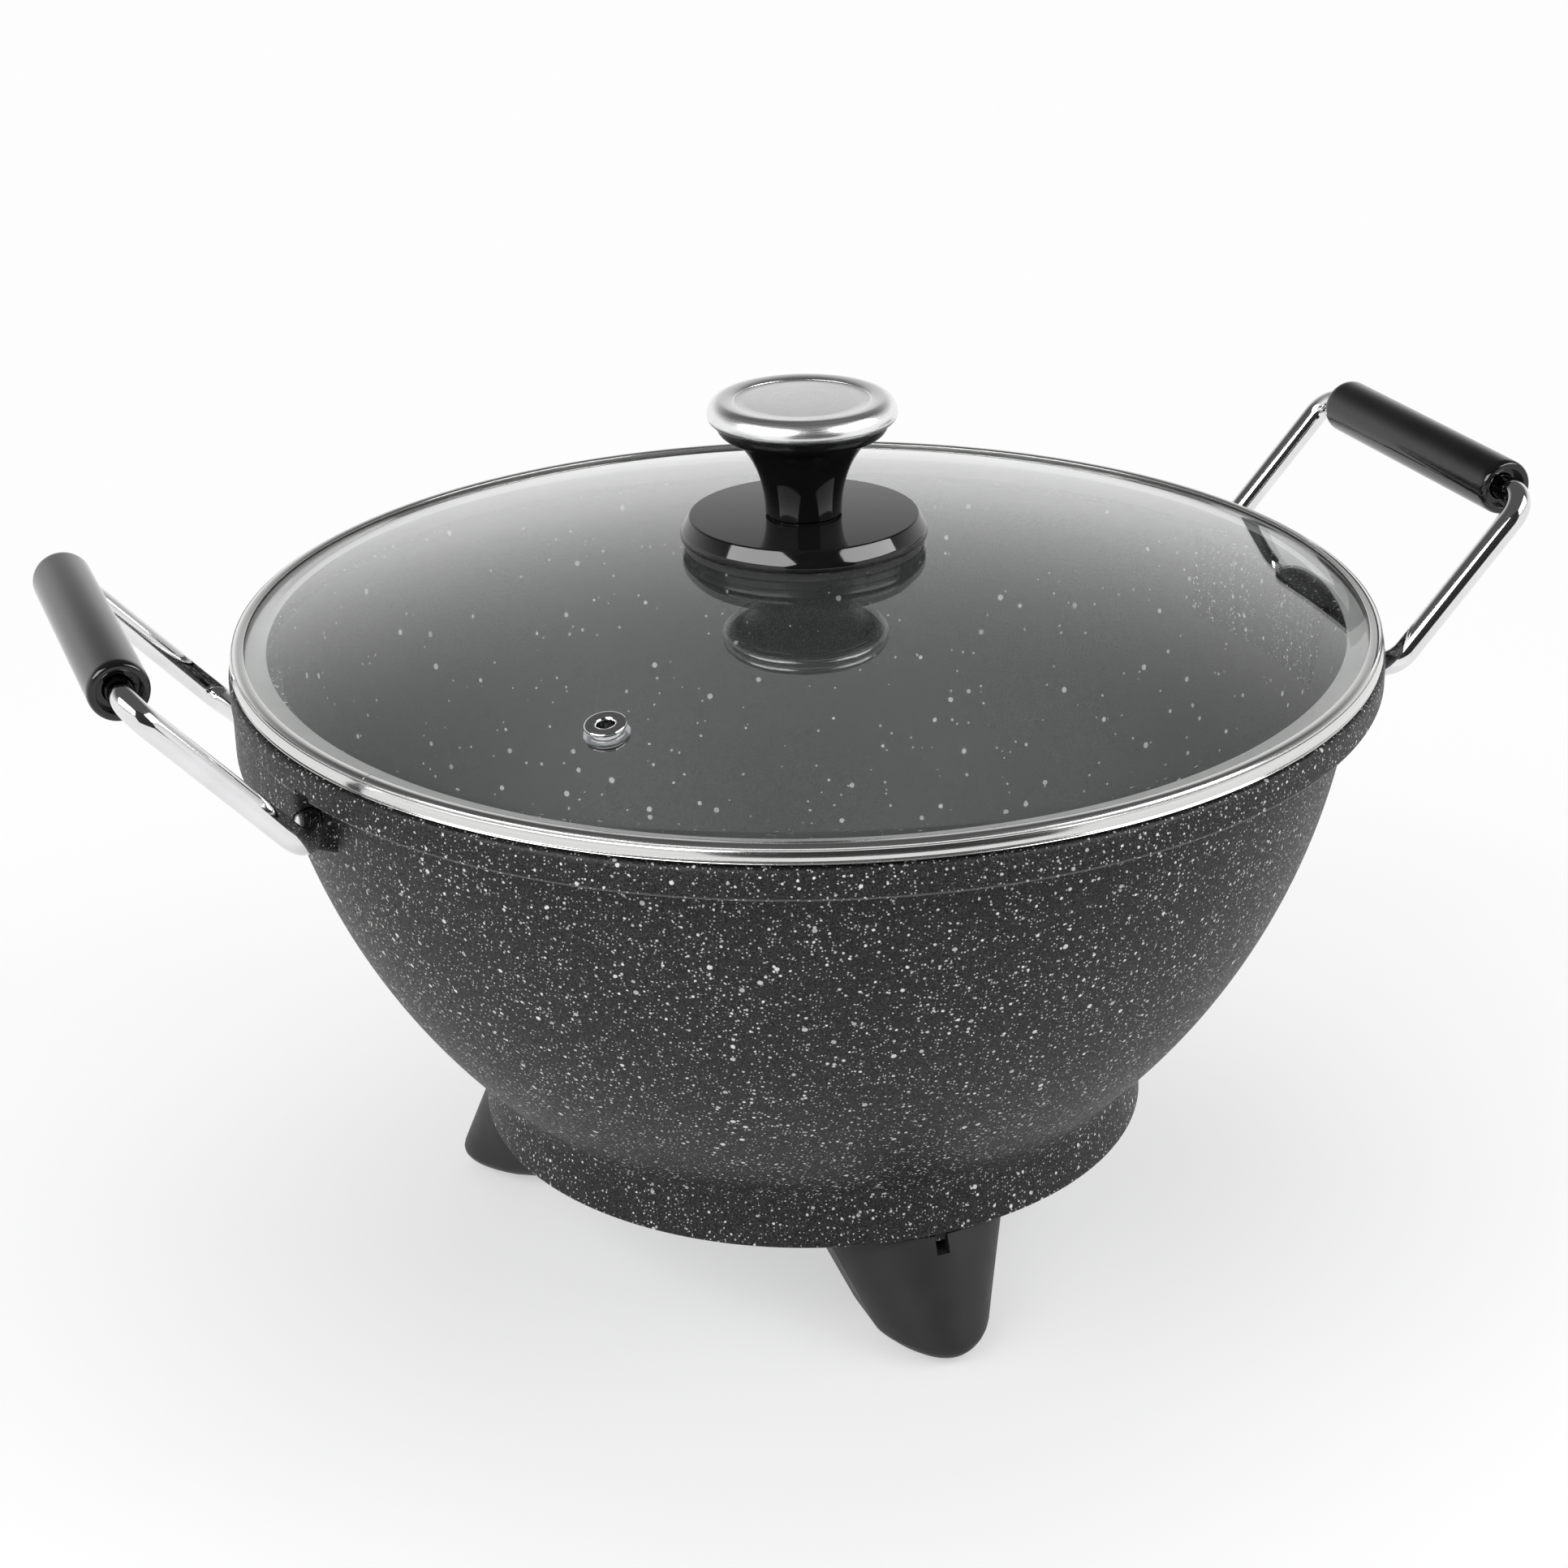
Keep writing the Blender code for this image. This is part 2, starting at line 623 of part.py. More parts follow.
def build_bowl(finishes):
    """The cast bowl, with its foot ring, lugs, bosses and inlet opening."""
    bowl = turned("bowl", bowl_outside(), finishes["speckled_coating"], closed=False)

    lugs = helper_group("bowl_lugs")
    for side in (-1, 1):
        as_cutter(lofted(f"lug_{side}", lug_sections(side)), lugs)
    combine(bowl, lugs, "UNION")

    spaces = helper_group("bowl_spaces")
    inside = turned("bowl_inside", bowl_inside(), None, closed=False)
    cavity = [
        (0, STAND_HEIGHT - OVERRUN),
        (FOOT_INNER_RADIUS, STAND_HEIGHT - OVERRUN),
        (FOOT_INNER_RADIUS, BASE_UNDERSIDE),
        (0, BASE_UNDERSIDE),
    ]
    under = turned("base_cavity", cavity, None, closed=False)
    as_cutter(inside, spaces)
    as_cutter(under, spaces)
    combine(bowl, spaces, "DIFFERENCE")

    bosses = helper_group("bowl_bosses")
    holes = helper_group("bowl_holes")
    sunk = BASE_UNDERSIDE + BASE_THICKNESS / 2
    for name, x, y, low, bite in boss_places():
        boss = rod_between(f"boss_{name}", (x, y, low), (x, y, sunk), BOSS_RADIUS)
        hole_top = low + bite + FIT
        hole = rod_between(f"pilot_{name}", (x, y, low - OVERRUN), (x, y, hole_top), SCREW_RADIUS + FIT)
        as_cutter(boss, bosses)
        as_cutter(hole, holes)
    ring_middle = (FOOT_RADIUS + FOOT_INNER_RADIUS) / 2
    for name, angle in LEG_ANGLES.items():
        tab = block(
            f"foot_tab_{name}",
            (ring_middle - FOOT_TAB_DEPTH / 2, -FOOT_TAB_WIDTH / 2, STAND_HEIGHT - FOOT_TAB_DROP),
            (ring_middle + FOOT_TAB_DEPTH / 2, FOOT_TAB_WIDTH / 2, STAND_HEIGHT + OVERRUN),
        )
        tab.data.transform(Matrix.Rotation(math.radians(angle), 4, "Z"))
        as_cutter(tab, bosses)
    combine(bowl, bosses, "UNION")

    notch_depth = math.sqrt(FLANGE_ROOT_RADIUS**2 - LUG_HALF_WIDTH**2)
    for side in (-1, 1):
        corners = rod_corners(side)
        for end, tip, elbow in ((-1, corners[0], corners[1]), (1, corners[-1], corners[-2])):
            away = (elbow - tip).normalized()
            bore = rod_between(
                f"rod_bore_{side}_{end}",
                tip - away * FIT,
                tip + away * (LUG_HALF_WIDTH - ROD_TIP_SPREAD + OVERRUN),
                ROD_RADIUS + FIT,
            )
            as_cutter(bore, holes)
            inner = (side * notch_depth, end * LUG_HALF_WIDTH, FLANGE_BOTTOM - OVERRUN)
            outer = (
                side * (RIM_RADIUS + OVERRUN),
                end * (LUG_HALF_WIDTH + NOTCH_WIDTH),
                FLANGE_BOTTOM + NOTCH_RISE,
            )
            low = [min(pair) for pair in zip(inner, outer)]
            high = [max(pair) for pair in zip(inner, outer)]
            as_cutter(block(f"flange_notch_{side}_{end}", low, high), holes)
    inlet = block(
        "inlet_opening",
        (-GUARD_HALF_WIDTH - FIT, FOOT_INNER_RADIUS - OVERRUN, GUARD_BOTTOM - FIT),
        (GUARD_HALF_WIDTH + FIT, GUARD_END + OVERRUN, GUARD_TOP + FIT),
    )
    as_cutter(inlet, holes)
    combine(bowl, holes, "DIFFERENCE")
    return bowl


def build_handles(finishes):
    """The two bent rods and the loose tube grips that turn on them."""
    half = GRIP_LENGTH / 2
    bore = ROD_RADIUS + SLIDE_FIT
    grip_outline = softened(
        [
            (bore, -half + GRIP_RECESS_DEPTH),
            (GRIP_RECESS_RADIUS, -half + GRIP_RECESS_DEPTH),
            (GRIP_RECESS_RADIUS, -half),
            (GRIP_RADIUS, -half),
            (GRIP_RADIUS, half),
            (GRIP_RECESS_RADIUS, half),
            (GRIP_RECESS_RADIUS, half - GRIP_RECESS_DEPTH),
            (bore, half - GRIP_RECESS_DEPTH),
        ],
        [0, 0, 0, GRIP_SOFTENING, GRIP_SOFTENING, 0, 0, 0],
        steps=3,
    )
    for name, side in (("left", -1), ("right", 1)):
        path = bent_path(rod_corners(side), ROD_BEND_RADIUS, ROD_BEND_STEPS)
        tube_along(f"{name}_handle_rod", path, ROD_RADIUS, 4, finishes["chrome"])
        grip = turned(f"{name}_grip", grip_outline, finishes["gloss_black"], steps=GRIP_STEPS)
        grip.location = (side * HANDLE_REACH, 0, GRIP_HEIGHT)
        grip.rotation_euler = (math.radians(90), 0, 0)


def leg_section(height, side_inset, front_inset, deeper=0):
    """One level of a leg, which points along -Y. The insets lie inside its surface, and deeper lies behind its back."""
    share = height / LEG_TOP
    sweep = math.radians(LEG_FRONT_SWEEP)
    half_width = LEG_TOE_HALF_WIDTH + (LEG_TOP_HALF_WIDTH - LEG_TOE_HALF_WIDTH) * share - side_inset
    bulge = LEG_TOE_BULGE + (LEG_TOP_BULGE - LEG_TOE_BULGE) * share
    nose = LEG_TOP_RADIUS + LEG_FLARE * (1 - share)
    back = nose - LEG_TOE_DEPTH - (LEG_TOP_DEPTH - LEG_TOE_DEPTH) * share - deeper
    loop = [(-half_width, -back, height)]
    for step in range(LEG_OUTLINE_STEPS + 1):
        angle = sweep * (2 * step / LEG_OUTLINE_STEPS - 1)
        fall = bulge * (1 - math.cos(angle)) / (1 - math.cos(sweep))
        loop.append((half_width * math.sin(angle) / math.sin(sweep), front_inset - nose + fall, height))
    loop.append((half_width, -back, height))
    return loop


def build_legs(finishes):
    """Three moulded legs, hollow at the back, each with a screwed tab and a rubber pad."""
    pad_radius = LEG_TOP_RADIUS + LEG_FLARE - LEG_PAD_INSET
    tab_radius = FOOT_INNER_RADIUS - SLIDE_FIT
    tab_end = math.sqrt(tab_radius**2 - (LEG_TAB_WIDTH / 2) ** 2)
    for name, angle in LEG_ANGLES.items():
        turn = Matrix.Rotation(math.radians(angle + 90), 4, "Z")
        sections = []
        for step in range(LEG_TOE_STEPS + 1):
            lean = math.pi / 2 * step / LEG_TOE_STEPS
            left = 1 - math.sin(lean)
            height = PAD_PROUD + LEG_TOE_RISE * (1 - math.cos(lean))
            sections.append(leg_section(height, LEG_TOE_SIDE_SOFTENING * left, LEG_TOE_FRONT_SOFTENING * left))
        sections.append(leg_section(LEG_TOP, 0, 0))
        leg = lofted(f"leg_{name}", sections, finishes["satin_black"])

        cuts = helper_group(f"leg_{name}_hollow")
        hollow = [
            leg_section(LEG_TOE_PLATE, LEG_TOE_SIDE_SOFTENING, LEG_TOE_FRONT_SOFTENING, OVERRUN),
            leg_section(LEG_TOE_PLATE + LEG_TOE_RISE, LEG_WALL, LEG_WALL, OVERRUN),
            leg_section(LEG_TOP - LEG_TOP_PLATE, LEG_WALL, LEG_WALL, OVERRUN),
        ]
        as_cutter(lofted(f"leg_{name}_core", hollow), cuts)
        combine(leg, cuts, "DIFFERENCE")

        tabs = helper_group(f"leg_{name}_tab")
        tab = block(
            f"leg_{name}_tab_block",
            (-LEG_TAB_WIDTH / 2, -tab_end, LEG_TAB_TOP - LEG_TAB_THICKNESS),
            (LEG_TAB_WIDTH / 2, -tab_end + LEG_TAB_LENGTH, LEG_TAB_TOP),
        )
        as_cutter(tab, tabs)
        combine(leg, tabs, "UNION")

        holes = helper_group(f"leg_{name}_holes")
        notch = block(
            f"leg_{name}_notch",
            (-LEG_NOTCH_WIDTH / 2, -LEG_TOP_RADIUS - LEG_FLARE, LEG_TOP - LEG_NOTCH_HEIGHT),
            (LEG_NOTCH_WIDTH / 2, -LEG_TOP_RADIUS + LEG_NOTCH_DEPTH, LEG_TOP + FIT),
        )
        screw_hole = rod_between(
            f"leg_{name}_screw_hole",
            (0, -LEG_SCREW_RADIUS, LEG_TAB_TOP - LEG_TAB_THICKNESS - OVERRUN),
            (0, -LEG_SCREW_RADIUS, LEG_TAB_TOP + OVERRUN),
            SCREW_RADIUS + FIT,
        )
        access = rod_between(
            f"leg_{name}_screw_access",
            (0, -LEG_SCREW_RADIUS, LEG_TOP - LEG_TOP_PLATE - OVERRUN),
            (0, -LEG_SCREW_RADIUS, LEG_TAB_TOP - LEG_TAB_THICKNESS),
            LEG_ACCESS_RADIUS,
        )
        pad_seat = rod_between(
            f"leg_{name}_pad_seat",
            (0, -pad_radius, -OVERRUN),
            (0, -pad_radius, PAD_THICKNESS + FIT),
            PAD_RADIUS + FIT,
            steps=GRIP_STEPS,
        )
        for cutter in (notch, screw_hole, access, pad_seat):
            as_cutter(cutter, holes)
        combine(leg, holes, "DIFFERENCE")

        pad = rod_between(
            f"foot_pad_{name}",
            (0, -pad_radius, 0),
            (0, -pad_radius, PAD_THICKNESS),
            PAD_RADIUS,
            finishes["rubber"],
            steps=GRIP_STEPS,
        )
        for obj in [leg, pad] + list(cuts.objects) + list(tabs.objects) + list(holes.objects):
            obj.data.transform(turn)


def cross_recess(name, x, y, top, group):
    """The cross in a screw's head, cut from below."""
    half = SCREW_CROSS_LENGTH / 2
    width = SCREW_CROSS_WIDTH / 2
    outline = [
        (width, width), (half, width), (half, -width), (width, -width),
        (width, -half), (-width, -half), (-width, -width), (-half, -width),
        (-half, width), (-width, width), (-width, half), (width, half),
    ]
    placed = [(x + px, y + py) for px, py in outline]
    as_cutter(extruded(name, placed, top - SCREW_CROSS_DEPTH - OVERRUN, top), group)


def build_screw(name, x, y, seat, length, material):
    """A pan-headed screw that goes up through a seat, its head below."""
    outline = softened(
        [
            (0, seat - SCREW_HEAD_HEIGHT),
            (SCREW_HEAD_RADIUS, seat - SCREW_HEAD_HEIGHT),
            (SCREW_HEAD_RADIUS, seat),
            (SCREW_RADIUS, seat),
            (SCREW_RADIUS, seat + length),
            (0, seat + length),
        ],
        [0, SCREW_HEAD_HEIGHT / 2, 0, 0, SCREW_RADIUS / 3, 0],
        closed=False,
        steps=2,
    )
    screw = turned(name, outline, material, closed=False, steps=SMALL_STEPS)
    screw.data.transform(Matrix.Translation((x, y, 0)))
    group = helper_group(f"{name}_recess")
    cross_recess(f"{name}_cross", x, y, seat - SCREW_HEAD_HEIGHT + SCREW_CROSS_DEPTH, group)
    combine(screw, group, "DIFFERENCE")


def build_screws(finishes):
    """The screws of the legs, the clamp plate and the guard."""
    steel = finishes["zinc_steel"]
    seats = {
        "leg": (LEG_TAB_TOP - LEG_TAB_THICKNESS - FIT, "leg_screw"),
        "clamp": (CLAMP_BOTTOM - FIT, "clamp_screw"),
        "guard": (EAR_BOTTOM - FIT, "guard_screw"),
    }
    for place, x, y, boss_bottom, bite in boss_places():
        kind, _, where = place.partition("_")
        seat, name = seats[kind]
        build_screw(f"{name}_{where}", x, y, seat, boss_bottom + bite - seat, steel)


def build_cover(finishes):
    """The pressed cover that closes the base, with vent slots and a bay for the inlet."""
    outline = [
        (0, COVER_BOTTOM),
        (COVER_RADIUS, COVER_BOTTOM),
        (COVER_RADIUS, COVER_TOP),
        (0, COVER_TOP),
    ]
    cover = turned("bottom_cover", outline, finishes["zinc_steel"], closed=False)
    cuts = helper_group("cover_cuts")
    low, high = COVER_BOTTOM - OVERRUN, COVER_TOP + OVERRUN
    for name, angle in LEG_ANGLES.items():
        x, y, _ = at_bearing(LEG_SCREW_RADIUS, angle, 0)
        hole = rod_between(f"cover_hole_{name}", (x, y, low), (x, y, high), SCREW_RADIUS + FIT)
        as_cutter(hole, cuts)
    for index in range(COVER_SLOT_COUNT):
        slot = block(
            f"cover_slot_{index}",
            (COVER_SLOT_END - COVER_SLOT_LENGTH, -COVER_SLOT_WIDTH / 2, low),
            (COVER_SLOT_END, COVER_SLOT_WIDTH / 2, high),
        )
        slot.data.transform(Matrix.Rotation(2 * math.pi * (index + 0.5) / COVER_SLOT_COUNT, 4, "Z"))
        as_cutter(slot, cuts)
    bay = block(
        "cover_bay",
        (-GUARD_HALF_WIDTH - SLIDE_FIT, GUARD_START - SLIDE_FIT, low),
        (GUARD_HALF_WIDTH + SLIDE_FIT, COVER_RADIUS + OVERRUN, high),
    )
    as_cutter(bay, cuts)
    combine(cover, cuts, "DIFFERENCE")


def element_path():
    """The heating element: a ring open at +Y whose two ends bend back and step down to the pins."""
    lead_x = PIN_SPACING / 2
    bend = ELEMENT_BEND_RADIUS
    reach = ELEMENT_RING_RADIUS + bend
    centre_x = lead_x + bend
    centre_y = math.sqrt(reach**2 - centre_x**2)
    lead_end = PIN_START - FIT
    side = [(lead_x, lead_end, PIN_HEIGHT)]
    ramp = lead_end - ELEMENT_LEAD_STRAIGHT
    for step in range(ELEMENT_LEAD_STEPS):
        share = step / ELEMENT_LEAD_STEPS
        drop = (1 + math.cos(math.pi * share)) / 2
        y = ramp + (centre_y - ramp) * share
        side.append((lead_x, y, ELEMENT_HEIGHT + (PIN_HEIGHT - ELEMENT_HEIGHT) * drop))
    turn = math.atan2(centre_y, centre_x)
    for step in range(ELEMENT_BEND_STEPS + 1):
        angle = math.pi + turn * step / ELEMENT_BEND_STEPS
        x = centre_x + bend * math.cos(angle)
        y = centre_y + bend * math.sin(angle)
        side.append((x, y, ELEMENT_HEIGHT))
    right = [Vector(point) for point in side]
    left = [Vector((-point.x, point.y, point.z)) for point in reversed(right)]
    start = turn
    sweep = -(2 * turn + math.pi)
    ring = []
    for step in range(1, ELEMENT_RING_STEPS):
        angle = start + sweep * step / ELEMENT_RING_STEPS
        x = ELEMENT_RING_RADIUS * math.cos(angle)
        ring.append(Vector((x, ELEMENT_RING_RADIUS * math.sin(angle), ELEMENT_HEIGHT)))
    return right + ring + left


def build_heater(finishes):
    """The sheathed element and the plate that holds it up against the base."""
    tube_along("heating_element", element_path(), ELEMENT_RADIUS, 2, finishes["sheath"])
    outline = [
        (CLAMP_INNER_RADIUS, CLAMP_BOTTOM),
        (CLAMP_OUTER_RADIUS, CLAMP_BOTTOM),
        (CLAMP_OUTER_RADIUS, CLAMP_TOP),
        (CLAMP_INNER_RADIUS, CLAMP_TOP),
    ]
    plate = turned("element_clamp_plate", outline, finishes["zinc_steel"], steps=KNOB_STEPS)
    cuts = helper_group("clamp_cuts")
    gap = block(
        "clamp_gap",
        (-CLAMP_GAP_HALF_WIDTH, 0, CLAMP_BOTTOM - OVERRUN),
        (CLAMP_GAP_HALF_WIDTH, CLAMP_OUTER_RADIUS + OVERRUN, CLAMP_TOP + OVERRUN),
    )
    as_cutter(gap, cuts)
    for name, angle in LEG_ANGLES.items():
        x, y, _ = at_bearing(CLAMP_SCREW_RADIUS, angle, 0)
        low, high = CLAMP_BOTTOM - OVERRUN, CLAMP_TOP + OVERRUN
        hole = rod_between(f"clamp_hole_{name}", (x, y, low), (x, y, high), SCREW_RADIUS + FIT)
        as_cutter(hole, cuts)
    combine(plate, cuts, "DIFFERENCE")


def facing_back(obj, x):
    """Lay a piece turned about Z along +Y, on the inlet's centre height."""
    obj.data.transform(Matrix.Translation((x, 0, PIN_HEIGHT)) @ Matrix.Rotation(math.radians(-90), 4, "X"))


def build_inlet(finishes):
    """The guarded inlet: two pins in insulators, the thermostat's sleeve and the earth contact."""
    flange_start = GUARD_START - FIT - INSULATOR_FLANGE
    pin_outline = softened(
        [(0, PIN_START), (PIN_RADIUS, PIN_START), (PIN_RADIUS, PIN_START + PIN_LENGTH), (0, PIN_START + PIN_LENGTH)],
        [0, 0, PIN_TIP, 0],
        closed=False,
    )
    insulator_outline = [
        (PIN_RADIUS + FIT, flange_start),
        (INSULATOR_FLANGE_RADIUS, flange_start),
        (INSULATOR_FLANGE_RADIUS, GUARD_START - FIT),
        (INSULATOR_BODY_RADIUS, GUARD_START - FIT),
        (INSULATOR_BODY_RADIUS, GUARD_START + GUARD_BACK_WALL + INSULATOR_NOSE),
        (PIN_RADIUS + FIT, GUARD_START + GUARD_BACK_WALL + INSULATOR_NOSE),
    ]
    for name, side in (("left", -1), ("right", 1)):
        x = side * PIN_SPACING / 2
        pin = turned(f"terminal_pin_{name}", pin_outline, finishes["chrome"], closed=False, steps=SMALL_STEPS)
        insulator = turned(f"pin_insulator_{name}", insulator_outline, finishes["ceramic"], steps=SMALL_STEPS)
        facing_back(pin, x)
        facing_back(insulator, x)

    sleeve_end = GUARD_START + GUARD_BACK_WALL + SLEEVE_LENGTH / 3
    sleeve_start = sleeve_end - SLEEVE_LENGTH
    sleeve_outline = [
        (SLEEVE_RADIUS - SLEEVE_WALL, sleeve_start),
        (SLEEVE_RADIUS, sleeve_start),
        (SLEEVE_RADIUS, flange_start),
        (SLEEVE_COLLAR_RADIUS, flange_start),
        (SLEEVE_COLLAR_RADIUS, GUARD_START - FIT),
        (SLEEVE_RADIUS, GUARD_START - FIT),
        (SLEEVE_RADIUS, sleeve_end),
        (SLEEVE_RADIUS - SLEEVE_WALL, sleeve_end),
    ]
    sleeve = turned("thermostat_probe_sleeve", sleeve_outline, finishes["zinc_steel"], steps=SMALL_STEPS)
    facing_back(sleeve, 0)
    build_guard(finishes)

    roof = GUARD_TOP - GUARD_WALL - FIT
    start = GUARD_START + GUARD_BACK_WALL + FIT
    end = start + EARTH_LENGTH
    bend = start + EARTH_LENGTH / 2
    upper = [(start, roof), (bend, roof), ((bend + end) / 2, roof - EARTH_SPRING_DROP), (end, roof)]
    lower = [(y, z - EARTH_THICKNESS) for y, z in reversed(upper)]
    strip = extruded("earth_contact", upper + lower, -EARTH_HALF_WIDTH, EARTH_HALF_WIDTH, finishes["zinc_steel"])
    strip.data.transform(Matrix(((0, 0, 1, 0), (1, 0, 0, 0), (0, 1, 0, 0), (0, 0, 0, 1))))


def build_guard(finishes):
    """The box round the inlet's pins, open to +Y, with two screwed ears inside the base."""
    middle = (GUARD_BOTTOM + GUARD_TOP) / 2
    half_height = GUARD_HEIGHT / 2
    corners = [
        (-GUARD_HALF_WIDTH, -half_height),
        (GUARD_HALF_WIDTH, -half_height),
        (GUARD_HALF_WIDTH, half_height),
        (-GUARD_HALF_WIDTH, half_height),
    ]
    outline = softened(corners, [GUARD_SOFTENING] * len(corners))
    guard = extruded("connector_guard", outline, -GUARD_END, -GUARD_START, finishes["satin_black"])
    upright = Matrix.Translation((0, 0, middle)) @ Matrix.Rotation(math.radians(90), 4, "X")
    guard.data.transform(upright)

    ears = helper_group("guard_ears")
    for side in (-1, 1):
        x_pair = sorted((side * (GUARD_HALF_WIDTH - GUARD_WALL), side * (GUARD_HALF_WIDTH + EAR_WIDTH)))
        ear = block(
            f"guard_ear_{side}",
            (x_pair[0], GUARD_START, EAR_BOTTOM),
            (x_pair[1], GUARD_START + EAR_LENGTH, EAR_TOP),
        )
        as_cutter(ear, ears)
    combine(guard, ears, "UNION")

    cuts = helper_group("guard_cuts")
    inner = [(x - math.copysign(GUARD_WALL, x), y - math.copysign(GUARD_WALL, y)) for x, y in corners]
    inner = softened(inner, [GUARD_SOFTENING / 2] * len(inner))
    room = extruded("guard_room", inner, -GUARD_END - OVERRUN, -GUARD_START - GUARD_BACK_WALL)
    room.data.transform(upright)
    as_cutter(room, cuts)
    through = (GUARD_START - OVERRUN, GUARD_START + GUARD_BACK_WALL + OVERRUN)
    for name, x, radius in (
        ("left", -PIN_SPACING / 2, INSULATOR_BODY_RADIUS),
        ("right", PIN_SPACING / 2, INSULATOR_BODY_RADIUS),
        ("middle", 0, SLEEVE_RADIUS),
    ):
        hole = rod_between(
            f"guard_hole_{name}",
            (x, through[0], PIN_HEIGHT),
            (x, through[1], PIN_HEIGHT),
            radius + FIT,
        )
        as_cutter(hole, cuts)
    for side in (-1, 1):
        hole = rod_between(
            f"ear_hole_{side}",
            (side * EAR_SCREW_X, EAR_SCREW_Y, EAR_BOTTOM - OVERRUN),
            (side * EAR_SCREW_X, EAR_SCREW_Y, EAR_TOP + OVERRUN),
            SCREW_RADIUS + FIT,
        )
        as_cutter(hole, cuts)
    combine(guard, cuts, "DIFFERENCE")


def dome_height(radius):
    """Height of the glass's upper face at a distance from the axis."""
    return DOME_TOP - DOME_SPHERE + math.sqrt(DOME_SPHERE**2 - radius**2)


def build_lid_glass(finishes):
    """The domed glass, with its flat edge, knob hole and vent hole."""
    outer = LID_RADIUS - RIM_STEEL - FIT
    radii = [
        GLASS_HOLE_RADIUS + (DOME_RADIUS_AT_EDGE - GLASS_HOLE_RADIUS) * step / GLASS_STEPS
        for step in range(GLASS_STEPS + 1)
    ]
    upper = [(radius, dome_height(radius)) for radius in radii]
    lower = [(radius, height - GLASS_THICKNESS) for radius, height in reversed(upper)]
    outline = upper + [(outer, GLASS_EDGE_TOP), (outer, GLASS_EDGE_BOTTOM)] + lower
    glass = turned("lid_glass", outline, finishes["glass"])
    cuts = helper_group("glass_cuts")
    drill = rod_between(
        "vent_drill",
        (0, 0, -GLASS_THICKNESS - OVERRUN),
        (0, 0, OVERRUN),
        VENT_TUBE_RADIUS + FIT,
    )
    drill.data.transform(vent_frame())
    as_cutter(drill, cuts)
    combine(glass, cuts, "DIFFERENCE")


def vent_frame():
    """Where the vent sits: on the glass, its axis square to the dome."""
    lean = math.asin(VENT_DISTANCE / DOME_SPHERE)
    place = Matrix.Translation((VENT_DISTANCE, 0, dome_height(VENT_DISTANCE)))
    tilt = Matrix.Rotation(lean, 4, "Y")
    return Matrix.Rotation(VENT_ANGLE, 4, "Z") @ place @ tilt


def build_vent(finishes):
    """The rolled eyelet in the glass and the washer under it."""
    top = FIT
    washer_top = -GLASS_THICKNESS - FIT
    washer_bottom = washer_top - VENT_WASHER_THICKNESS
    bottom = washer_bottom - FIT
    outline = softened(
        [
            (VENT_HOLE_RADIUS, bottom - VENT_FLANGE_HEIGHT),
            (VENT_FLANGE_RADIUS, bottom - VENT_FLANGE_HEIGHT),
            (VENT_FLANGE_RADIUS, bottom),
            (VENT_TUBE_RADIUS, bottom),
            (VENT_TUBE_RADIUS, top),
            (VENT_FLANGE_RADIUS, top),
            (VENT_FLANGE_RADIUS, top + VENT_FLANGE_HEIGHT),
            (VENT_HOLE_RADIUS, top + VENT_FLANGE_HEIGHT),
        ],
        [VENT_FLANGE_HEIGHT / 2, VENT_FLANGE_HEIGHT, 0, 0, 0, 0, VENT_FLANGE_HEIGHT, VENT_FLANGE_HEIGHT],
        steps=2,
    )
    vent = turned("steam_vent", outline, finishes["chrome"], steps=VENT_STEPS)
    vent.data.transform(vent_frame())
    washer_outline = [
        (VENT_TUBE_RADIUS + FIT, washer_bottom),
        (VENT_WASHER_RADIUS, washer_bottom),
        (VENT_WASHER_RADIUS, washer_top),
        (VENT_TUBE_RADIUS + FIT, washer_top),
    ]
    washer = turned("vent_washer", washer_outline, finishes["zinc_steel"], steps=VENT_STEPS)
    washer.data.transform(vent_frame())


def build_lid_rim(finishes):
    """The rolled steel rim that grips the glass, with a skirt that stands on the bowl's ledge."""
    skirt = REBATE_RADIUS - SKIRT_FIT
    web = LID_RADIUS - RIM_STEEL
    outline = softened(
        [
            (LID_LAP_RADIUS, LID_RIM_TOP),
            (LID_RADIUS, LID_RIM_TOP),
            (LID_RADIUS, LID_LIP),
            (skirt, LID_LIP),
            (skirt, LEDGE_TOP + FIT),
            (skirt - RIM_STEEL, LEDGE_TOP + FIT),
            (skirt - RIM_STEEL, LID_LIP + RIM_STEEL),
            (web, LID_LIP + RIM_STEEL),
            (web, LID_RIM_TOP - RIM_STEEL),
            (LID_LAP_RADIUS, LID_RIM_TOP - RIM_STEEL),
        ],
        [0, RIM_STEEL, RIM_STEEL, 0, 0, 0, 0, 0, 0, 0],
        steps=2,
    )
    turned("lid_rim", outline, finishes["polished_steel"])


